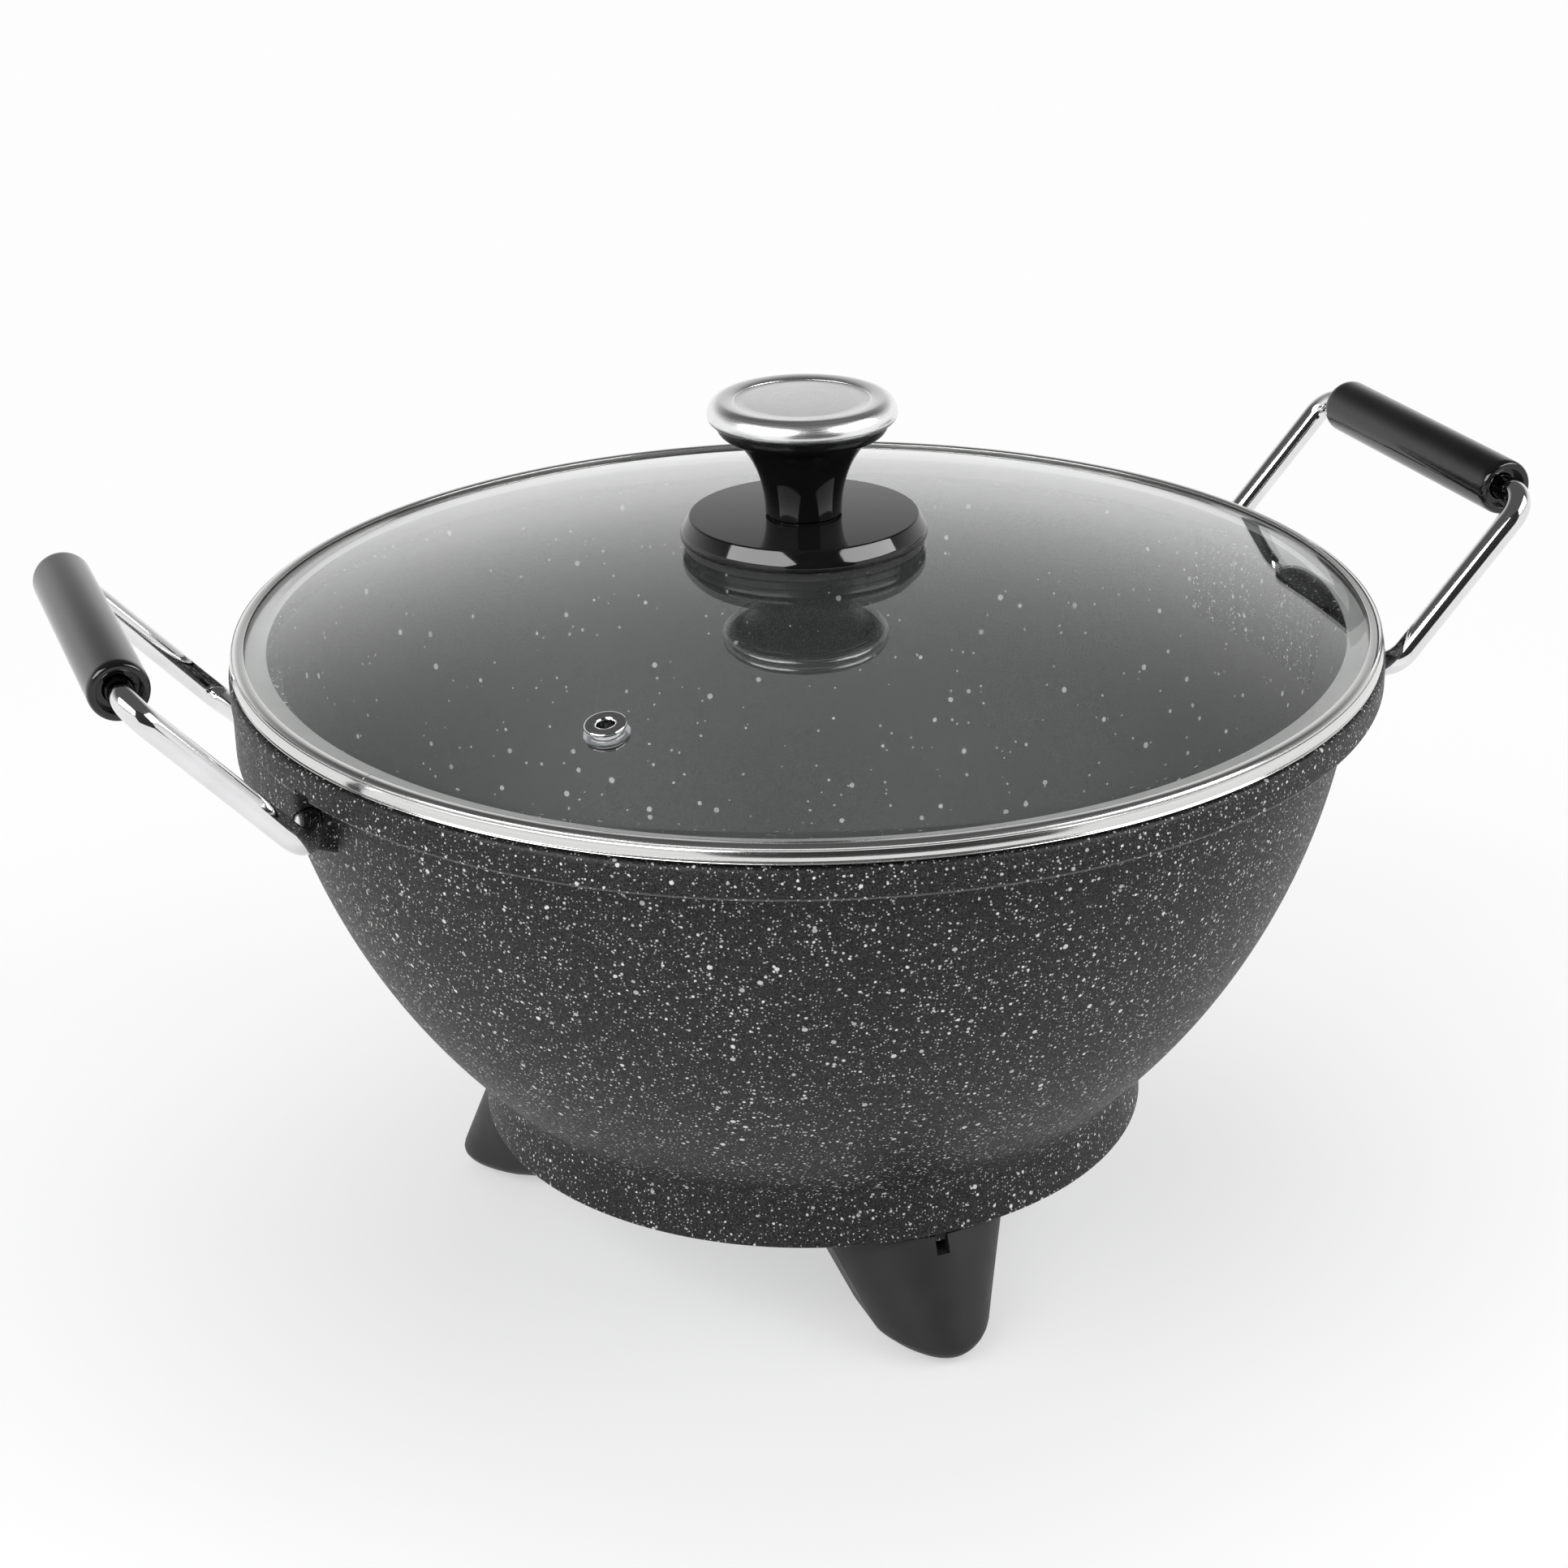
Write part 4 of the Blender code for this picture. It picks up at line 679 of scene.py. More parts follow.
@dataclass(frozen=True)
class BrightMetal(Finish):
    """A metal with fine lines along one way and faint smudges."""

    colour: tuple[float, float, float] = (0.80, 0.80, 0.81)
    roughness: float = 0.06
    unevenness: float = 0.03
    line_spacing: float = 0.0
    line_height: float = 0.000004
    around_axis: bool = True

    def line_place(self, graph: Graph, place: bpy.types.NodeSocket) -> bpy.types.NodeSocket:
        """Coordinates in which noise draws out into rings about Z, or into lines along Y.

        Args:
            graph: the material's nodes.
            place: the place on the object.

        Returns:
            The drawn-out coordinates.
        """
        axes = graph.add("ShaderNodeSeparateXYZ", {"Vector": place})
        x, y, z = axes.outputs
        if self.around_axis:
            flat = graph.add("ShaderNodeCombineXYZ", {"X": x, "Y": y})
            reach = graph.add("ShaderNodeVectorMath", {0: flat.outputs[0]}, operation="LENGTH")
            first, third = reach.outputs["Value"], graph.math("ARCTAN2", y, x)
            third = graph.math("MULTIPLY", third, self.line_spacing)
        else:
            first, third = x, graph.math("MULTIPLY", y, 0.01)
        return graph.add("ShaderNodeCombineXYZ", {"X": first, "Y": third, "Z": z}).outputs[0]

    def paint(self, graph: Graph) -> None:
        """Fill the material's node tree."""
        place = graph.place()
        smudge = graph.noise(place, 38.0, 4.0)
        rough = graph.spread(smudge, 0.35, 0.7, self.roughness, self.roughness + self.unevenness)
        cloud = graph.noise(place, 90.0, 3.0)
        height = graph.noise(place, 400.0, 2.0)
        distance = 0.000002
        if self.line_spacing:
            lines = graph.noise(self.line_place(graph, place), 1 / self.line_spacing, 3.0)
            rough = graph.math("ADD", rough, graph.spread(lines, 0.3, 0.7, -0.04, 0.06))
            height = lines
            distance = self.line_height
            cloud = lines
        colour = graph.blend(
            graph.spread(cloud, 0.3, 0.7, 0.0, 1.0),
            (*(level * 0.93 for level in self.colour), 1.0),
            (*self.colour, 1.0),
        )
        graph.principled(
            Base_Color=colour,
            Metallic=1.0,
            Roughness=rough,
            Normal=graph.bump(height, distance, 0.6),
        )


@dataclass(frozen=True)
class Moulding(Finish):
    """Moulded plastic or rubber with a fine surface and slight cloudiness."""

    level: float = 0.010
    roughness: float = 0.15
    unevenness: float = 0.06
    grain_scale: float = 350.0
    grain_height: float = 0.000004
    shine: float = 0.5

    def paint(self, graph: Graph) -> None:
        """Fill the material's node tree."""
        place = graph.place()
        cloud = graph.noise(place, 45.0, 4.0)
        colour = graph.blend(
            graph.spread(cloud, 0.3, 0.7, 0.0, 1.0), grey(self.level * 0.8), grey(self.level * 1.25)
        )
        rough = graph.spread(
            graph.noise(place, 120.0, 3.0), 0.3, 0.7, self.roughness, self.roughness + self.unevenness
        )
        grain = graph.noise(place, self.grain_scale, 3.0)
        graph.principled(
            Base_Color=colour,
            Roughness=rough,
            Normal=graph.bump(grain, self.grain_height, 0.7),
            Specular_IOR_Level=self.shine,
        )


@dataclass(frozen=True)
class ClearGlass(Finish):
    """Clear tempered glass with the faintest smudges."""

    def paint(self, graph: Graph) -> None:
        """Fill the material's node tree."""
        place = graph.place()
        smudge = graph.noise(place, 22.0, 4.0)
        rough = graph.spread(smudge, 0.45, 0.75, 0.0, 0.025)
        colour = graph.blend(
            graph.spread(smudge, 0.3, 0.7, 0.0, 1.0),
            (0.955, 0.975, 0.97, 1.0),
            (0.975, 0.985, 0.98, 1.0),
        )
        shader = graph.principled(
            Base_Color=colour, Roughness=rough, IOR=1.48, Transmission_Weight=1.0
        )
        clear = graph.add("ShaderNodeBsdfTransparent", {"Color": (0.90, 0.92, 0.915, 1.0)})
        rays = graph.add("ShaderNodeLightPath")
        mixed = graph.add(
            "ShaderNodeMixShader",
            {0: rays.outputs["Is Shadow Ray"], 1: shader.outputs[0], 2: clear.outputs[0]},
        )
        output = graph.material.node_tree.nodes["Material Output"]
        graph.material.node_tree.links.new(mixed.outputs[0], output.inputs["Surface"])


@dataclass(frozen=True)
class Translucent(Finish):
    """Translucent silicone with a soft cloud in it."""

    level: float = 0.30

    def paint(self, graph: Graph) -> None:
        """Fill the material's node tree."""
        cloud = graph.noise(graph.place(), 60.0, 3.0)
        colour = graph.blend(cloud, grey(self.level * 0.9), grey(self.level))
        rough = graph.spread(cloud, 0.3, 0.7, 0.22, 0.36)
        graph.principled(Base_Color=colour, Roughness=rough, IOR=1.41, Transmission_Weight=0.9)


@dataclass(frozen=True)
class Palette:
    """The wok's finishes."""

    outside: Finish = SpeckledCoating(
        "coating_outside",
        # painted highlight line along the flange's lower edge at this height
        painted_highlight_height=0.1921,
        flecks=(
            Flecks(0.0009, 0.00034, 0.20, 0.75),
            Flecks(0.0019, 0.00056, 0.25, 1.0),
            Flecks(0.0042, 0.00090, 0.30, 1.0),
        ),
    )
    inside: Finish = SpeckledCoating(
        "coating_inside",
        base=0.016,
        grain=0.022,
        roughness=0.42,
        shine=0.4,
        flecks=(Flecks(0.0030, 0.00055, 0.45, 0.6), Flecks(0.0062, 0.00120, 0.30, 0.9)),
    )
    chrome: Finish = BrightMetal("bright_chrome")
    rim: Finish = BrightMetal(
        "rolled_steel",
        colour=(0.74, 0.735, 0.73),
        roughness=0.13,
        line_spacing=0.0004,
        line_height=0.000002,
    )
    flange: Finish = BrightMetal(
        "dull_steel",
        colour=(0.46, 0.455, 0.45),
        roughness=0.30,
        unevenness=0.08,
    )
    cap: Finish = BrightMetal(
        "turned_steel",
        colour=(0.86, 0.86, 0.865),
        roughness=0.24,
        line_spacing=0.00028,
        line_height=0.000005,
    )
    zinc: Finish = BrightMetal(
        "zinc_plate",
        colour=(0.56, 0.57, 0.58),
        roughness=0.32,
        unevenness=0.12,
    )
    sheath: Finish = BrightMetal(
        "oxidised_sheath",
        colour=(0.26, 0.24, 0.23),
        roughness=0.42,
        unevenness=0.15,
        line_spacing=0.0006,
    )
    gloss: Finish = Moulding(
        "gloss_phenolic",
        level=0.006,
        roughness=0.05,
        unevenness=0.03,
    )
    satin: Finish = Moulding(
        "satin_phenolic",
        level=0.013,
        roughness=0.48,
        grain_scale=1500.0,
        grain_height=0.00003,
        shine=0.4,
    )
    rubber: Finish = Moulding(
        "foot_rubber",
        level=0.018,
        roughness=0.78,
        grain_scale=900.0,
        shine=0.3,
    )
    ceramic: Finish = Moulding(
        "glazed_ceramic",
        level=0.72,
        roughness=0.22,
        grain_scale=500.0,
    )
    glass: Finish = ClearGlass("clear_glass")
    silicone: Finish = Translucent("clear_silicone")


# Sub-assemblies


@dataclass
class Bowl:
    """The cast bowl."""

    palette: Palette
    stand_height: float = 0.040
    rim_top: float = 0.2012
    rim_radius: float = 0.1806
    rim_wall: float = 0.0051
    flange_height: float = 0.0097
    flange_overhang: float = 0.0090
    rebate_depth: float = 0.0062
    ledge_width: float = 0.0060
    ledge_slope: float = 0.0080
    wall: float = 0.0040
    sweep_radius: float = 0.2142
    foot_radius: float = 0.1091
    neck_radius: float = 0.1066
    foot_height: float = 0.0175
    foot_wall: float = 0.0061
    cavity_depth: float = 0.0220
    base_thickness: float = 0.0050
    floor_fillet: float = 0.0160
    lug_half_width: float = 0.0445
    lug_inset: float = 0.0004
    lug_low: float = 0.1745
    lug_foot: float = 0.1675
    lug_softening: float = 0.0012
    notch_width: float = 0.0082
    notch_rise: float = 0.0020
    bore_radius: float = 0.0043
    inlet_half_width: float = 0.0238
    inlet_low: float = 0.0443
    inlet_high: float = 0.0609
    tab_half_width: float = 0.0017
    tab_drop: float = 0.0025
    facets: int = 256

    def sweep_centre(self) -> Vector:
        """Centre of the wall's arc in the outline's plane."""
        low = Vector((self.neck_radius, self.stand_height + self.foot_height))
        high = Vector((self.rim_radius - self.flange_overhang, self.rim_top - self.flange_height))
        chord = high - low
        reach = math.sqrt(self.sweep_radius**2 - (chord.length / 2) ** 2)
        return (low + high) / 2 + Vector((-chord.y, chord.x)).normalized() * reach

    def sweep_angle(self, height: float, radius: float) -> float:
        """Angle on the wall's arc at which it reaches a height."""
        return math.asin((height - self.sweep_centre().y) / radius)

    def wall_radius(self, height: float, inset: float) -> float:
        """Distance of the wall from the axis at a height, some way inside its outer face."""
        radius = self.sweep_radius - inset
        return self.sweep_centre().x + radius * math.cos(self.sweep_angle(height, radius))

    def outline(self) -> list[Vector]:
        """The casting's outline, from the floor's middle over the rim to the base's underside."""
        centre = self.sweep_centre()
        inner = self.sweep_radius - self.wall
        floor = self.stand_height + self.cavity_depth + self.base_thickness
        lean = math.asin((floor + self.floor_fillet - centre.y) / (inner - self.floor_fillet))
        away = Vector((math.cos(lean), math.sin(lean)))
        fillet = centre + away * (inner - self.floor_fillet)
        ledge = self.rim_top - self.rebate_depth
        rebate = self.rim_radius - self.rim_wall
        flange_low = self.rim_top - self.flange_height
        neck_top = self.stand_height + self.foot_height
        inside = [Vector((0, floor))]
        inside += arc(fillet, self.floor_fillet, -math.pi / 2, lean, 10)
        inside += arc(centre, inner, lean, self.sweep_angle(ledge - self.ledge_slope, inner), 24)[1:]
        spare = 0.010
        wall = arc(
            centre,
            self.sweep_radius,
            self.sweep_angle(flange_low, self.sweep_radius) - spare / self.sweep_radius,
            self.sweep_angle(neck_top, self.sweep_radius) + spare / self.sweep_radius,
            28,
        )
        corners = [
            ((rebate - self.ledge_width, ledge), 0.0010),
            ((rebate, ledge), 0.0006),
            ((rebate, self.rim_top), 0.0010),
            ((self.rim_radius, self.rim_top), 0.0022),
            ((self.rim_radius, flange_low), 0.0012),
            ((self.rim_radius - self.flange_overhang, flange_low), 0.0025),
            *((tuple(point), 0.0) for point in wall),
            ((self.neck_radius, neck_top), 0.0045),
            ((self.foot_radius, self.stand_height), 0.0012),
            ((self.foot_radius - self.foot_wall, self.stand_height), 0.0006),
            ((self.foot_radius - self.foot_wall, self.stand_height + self.cavity_depth), 0.0020),
            ((0, self.stand_height + self.cavity_depth), 0.0),
        ]
        points = [tuple(point) for point in inside] + [point for point, _ in corners]
        cuts = [0.0] * len(inside) + [cut for _, cut in corners]
        return softened(points, cuts, closed=False)

    def lug(self, side: int) -> bmesh.types.BMesh:
        """One wide lug under the flange.

        Args:
            side: -1 for the left lug, 1 for the right.

        Returns:
            The form.
        """
        outer = self.rim_radius - self.lug_inset
        inner = self.wall_radius(self.lug_foot, self.wall)
        top = self.rim_top - self.flange_height / 2
        reach = math.asin(self.lug_half_width / outer)
        turn = self.lug_softening / outer
        stops = [(-reach, 1.0), (-reach + turn / 3, 1 / 3), (-reach + turn, 0.0)]
        spans = 20
        for step in range(1, spans):
            stops.append(((reach - turn) * (2 * step / spans - 1), 0.0))
        stops += [(-angle, shrink) for angle, shrink in reversed(stops[:3])]
        sections = []
        for angle, shrink in stops:
            inset = self.lug_softening * shrink
            outline = softened(
                [
                    (inner, top),
                    (outer - inset, top),
                    (outer - inset, self.lug_low + inset),
                    (inner, self.lug_foot + inset),
                ],
                [0, 0, 0.0016, 0],
            )
            along, across = side * math.cos(angle), math.sin(angle)
            sections.append([(r * along, r * across, z) for r, z in outline])
        return lofted(sections)

    def cuts(self, corners: dict[int, list[Vector]]) -> list[bmesh.types.BMesh]:
        """The forms cut from the casting.

        Args:
            corners: for each side, the corners of that side's handle rod.

        Returns:
            The notches, the rods' bores and the inlet.
        """
        flange_low = self.rim_top - self.flange_height
        root = self.rim_radius - self.flange_overhang
        depth = math.sqrt(root**2 - self.lug_half_width**2)
        forms = []
        for side, points in corners.items():
            for end, tip, elbow in ((-1, points[0], points[1]), (1, points[-1], points[-2])):
                away = (elbow - tip).normalized()
                reach = self.lug_half_width - abs(tip.y) + OVERRUN
                forms.append(bar(tip - away * 0.0003, tip + away * reach, self.bore_radius))
                ends = (
                    (side * depth, end * self.lug_half_width, flange_low - OVERRUN),
                    (
                        side * (self.rim_radius + OVERRUN),
                        end * (self.lug_half_width + self.notch_width),
                        flange_low + self.notch_rise,
                    ),
                )
                low = [min(pair) for pair in zip(*ends)]
                high = [max(pair) for pair in zip(*ends)]
                forms.append(block(low, high, 0.0006))
        inner = self.foot_radius - self.foot_wall
        forms.append(
            block(
                (-self.inlet_half_width, inner - OVERRUN, self.inlet_low),
                (self.inlet_half_width, self.foot_radius + OVERRUN, self.inlet_high),
                0.0010,
            )
        )
        return forms

    def tabs(self) -> list[bmesh.types.BMesh]:
        """The small tabs of the foot ring that locate the legs."""
        middle = self.foot_radius - self.foot_wall / 2
        forms = []
        for angle in LEG_ANGLES.values():
            form = block(
                (middle - 0.0019, -self.tab_half_width, self.stand_height - self.tab_drop),
                (middle + 0.0019, self.tab_half_width, self.stand_height + OVERRUN),
            )
            bmesh.ops.rotate(form, verts=form.verts, matrix=Matrix.Rotation(angle, 3, "Z"))
            forms.append(form)
        return forms

    def build(self, corners: dict[int, list[Vector]]) -> None:
        """Make and dress the bowl.

        Args:
            corners: for each side, the corners of that side's handle rod.
        """
        form = spun(self.outline(), False, self.facets)
        floor = self.stand_height + self.cavity_depth
        for face in form.faces:
            centre = face.calc_center_median()
            middle = self.wall_radius(max(centre.z, self.stand_height + self.foot_height), self.wall / 2)
            if centre.z > floor + self.base_thickness / 2 and centre.xy.length < middle:
                face.material_index = 1
        finishes = (self.palette.outside.material(), self.palette.inside.material())
        bowl = as_object("cast_bowl", form, finishes)
        combined(bowl, Join.ADD, [self.lug(side) for side in LEFT_AND_RIGHT] + self.tabs())
        combined(bowl, Join.CUT, self.cuts(corners))
        settle(smoothed(bowl), Body.COOKER, Slot.COATING, "bowl")


@dataclass
class Handles:
    """The two bent rods and their loose grips."""

    palette: Palette
    reach: float = 0.2221
    height: float = 0.2330
    arm_spread: float = 0.0625
    elbow_reach: float = 0.1764
    elbow_height: float = 0.1825
    tip_reach: float = 0.1695
    tip_spread: float = 0.0350
    bend_radius: float = 0.0085
    rod_radius: float = 0.0040
    grip_radius: float = 0.0090
    grip_length: float = 0.1012
    grip_softening: float = 0.0030
    recess_radius: float = 0.0064
    recess_depth: float = 0.0030
    bore_radius: float = 0.0045

    def corners(self, side: int) -> list[Vector]:
        """The corners of one rod, from tip to tip.

        Args:
            side: -1 for the left rod, 1 for the right.

        Returns:
            The six corners.
        """
        half = [
            Vector((side * self.tip_reach, -self.tip_spread, self.elbow_height)),
            Vector((side * self.elbow_reach, -self.arm_spread, self.elbow_height)),
            Vector((side * self.reach, -self.arm_spread, self.height)),
        ]
        return half + [Vector((point.x, -point.y, point.z)) for point in reversed(half)]

    def grip(self, side: int) -> bmesh.types.BMesh:
        """One tube grip, lying along Y.

        Args:
            side: -1 for the left grip, 1 for the right.

        Returns:
            The form.
        """
        half = self.grip_length / 2
        floor = half - self.recess_depth
        outline = softened(
            [
                (self.bore_radius, -floor),
                (self.recess_radius, -floor),
                (self.recess_radius, -half),
                (self.grip_radius, -half),
                (self.grip_radius, half),
                (self.recess_radius, half),
                (self.recess_radius, floor),
                (self.bore_radius, floor),
            ],
            [0, 0, 0.0005, self.grip_softening, self.grip_softening, 0.0005, 0, 0],
        )
        form = spun(outline, True, 72)
        place = Matrix.Translation((side * self.reach, 0, self.height))
        lie = place @ Matrix.Rotation(math.pi / 2, 4, "X")
        bmesh.ops.transform(form, matrix=lie, verts=form.verts)
        return form

    def build(self) -> None:
        """Make and dress both handles."""
        names = {-1: "left", 1: "right"}
        bodies = {-1: Body.LEFT_GRIP, 1: Body.RIGHT_GRIP}
        for side, name in names.items():
            path = bent_path(self.corners(side), self.bend_radius, 14, 0.006)
            form = tube(path, self.rod_radius, 40)
            rod = as_object(f"{name}_rod", form, [self.palette.chrome.material()])
            settle(smoothed(rod), Body.COOKER, Slot.CHROME, f"{name}_handle_rod")
            grip = as_object(f"{name}_tube_grip", self.grip(side), [self.palette.gloss.material()])
            settle(smoothed(grip), bodies[side], Slot.GLOSS_BLACK, f"{name}_grip")


@dataclass
class Legs:
    """Three moulded legs with their screws and pads."""

    palette: Palette
    top: float = 0.0397
    toe: float = 0.0006
    top_radius: float = 0.1088
    flare: float = 0.0162
    top_half_width: float = 0.0320
    toe_half_width: float = 0.0160
    top_bulge: float = 0.0240
    toe_bulge: float = 0.0200
    top_depth: float = 0.0480
    toe_depth: float = 0.0360
    front_sweep: float = math.radians(70)
    toe_rise: float = 0.0070
    toe_side_softening: float = 0.0090
    toe_front_softening: float = 0.0120
    wall: float = 0.0026
    top_plate: float = 0.0060
    toe_plate: float = 0.0042
    notch_half_width: float = 0.0021
    notch_height: float = 0.0055
    notch_depth: float = 0.0050
    tab_half_width: float = 0.0140
    tab_length: float = 0.0240
    tab_low: float = 0.0376
    tab_high: float = 0.0441
    tab_end: float = 0.1015
    screw_radius: float = 0.0840
    hole_radius: float = 0.0021
    access_radius: float = 0.0046
    pad_inset: float = 0.0250
    pad_radius: float = 0.0060
    pad_thickness: float = 0.0016
    fit: float = 0.0003

    def section(
        self, height: float, side_inset: float, front_inset: float, deeper: float = 0.0
    ) -> list[Vector]:
        """One level of a leg that points along -Y.

        Args:
            height: the level.
            side_inset: how far the level lies inside the leg's sides.
            front_inset: how far it lies inside the leg's front.
            deeper: how far its back lies behind the leg's back.

        Returns:
            The level's closed outline.
        """
        part = height / self.top
        half = self.toe_half_width + (self.top_half_width - self.toe_half_width) * part - side_inset
        bulge = self.toe_bulge + (self.top_bulge - self.toe_bulge) * part
        nose = self.top_radius + self.flare * (1 - part)
        back = nose - self.toe_depth - (self.top_depth - self.toe_depth) * part - deeper
        outline = [Vector((-half, -back, height))]
        spans = 40
        for step in range(spans + 1):
            angle = self.front_sweep * (2 * step / spans - 1)
            fall = bulge * (1 - math.cos(angle)) / (1 - math.cos(self.front_sweep))
            across = half * math.sin(angle) / math.sin(self.front_sweep)
            outline.append(Vector((across, front_inset - nose + fall, height)))
        outline.append(Vector((half, -back, height)))
        return outline

    def leg(self) -> bmesh.types.BMesh:
        """A leg's outer form, with a rounded toe."""
        sections = []
        spans = 8
        for step in range(spans + 1):
            angle = math.pi / 2 * step / spans
            left = 1 - math.sin(angle)
            height = self.toe + self.toe_rise * (1 - math.cos(angle))
            insets = self.toe_side_softening * left, self.toe_front_softening * left
            sections.append(self.section(height, *insets))
        start = self.toe + self.toe_rise
        for step in range(1, spans + 1):
            sections.append(self.section(start + (self.top - start) * step / spans, 0, 0))
        return lofted(sections)

    def core(self) -> bmesh.types.BMesh:
        """The hollow of a leg, open at its back."""
        return lofted(
            [
                self.section(
                    self.toe_plate, self.toe_side_softening, self.toe_front_softening, OVERRUN
                ),
                self.section(self.toe_plate + self.toe_rise, self.wall, self.wall, OVERRUN),
                self.section(self.top - self.top_plate, self.wall, self.wall, OVERRUN),
            ]
        )

    def cuts(self) -> list[bmesh.types.BMesh]:
        """The holes of a leg that points along -Y."""
        pad = self.top_radius + self.flare - self.pad_inset
        screw = self.screw_radius
        plate_low = self.top - self.top_plate
        return [
            block(
                (-self.notch_half_width, -self.top_radius - self.flare, self.top - self.notch_height),
                (self.notch_half_width, -self.top_radius + self.notch_depth, self.top + OVERRUN / 8),
            ),
            bar(
                (0, -screw, self.tab_low - OVERRUN),
                (0, -screw, self.tab_high + OVERRUN),
                self.hole_radius,
            ),
            bar((0, -screw, plate_low - OVERRUN), (0, -screw, self.tab_low), self.access_radius),
            bar(
                (0, -pad, -OVERRUN),
                (0, -pad, self.pad_thickness + self.fit),
                self.pad_radius + self.fit,
                48,
            ),
        ]

    def build(self) -> None:
        """Make and dress the legs and their pads."""
        pad = self.top_radius + self.flare - self.pad_inset
        for name, angle in LEG_ANGLES.items():
            turn = Matrix.Rotation(angle + math.pi / 2, 4, "Z")
            leg = as_object(f"moulded_leg_{name}", self.leg(), [self.palette.satin.material()])
            combined(leg, Join.CUT, [self.core()])
            tab = block(
                (-self.tab_half_width, -self.tab_end, self.tab_low),
                (self.tab_half_width, -self.tab_end + self.tab_length, self.tab_high),
                0.0008,
            )
            combined(leg, Join.ADD, [tab])
            combined(leg, Join.CUT, self.cuts())
            leg.data.transform(turn)
            settle(smoothed(leg, math.radians(16)), Body.COOKER, Slot.SATIN_BLACK, f"leg_{name}")
            outline = softened(
                [
                    (0, 0),
                    (self.pad_radius, 0),
                    (self.pad_radius, self.pad_thickness),
                    (0, self.pad_thickness),
                ],
                [0, 0.0004, 0, 0],
                closed=False,
            )
            form = spun(outline, False, 48)
            foot = as_object(f"rubber_pad_{name}", form, [self.palette.rubber.material()])
            foot.data.transform(turn @ Matrix.Translation((0, -pad, 0)))
            settle(smoothed(foot), Body.COOKER, Slot.RUBBER, f"foot_pad_{name}")


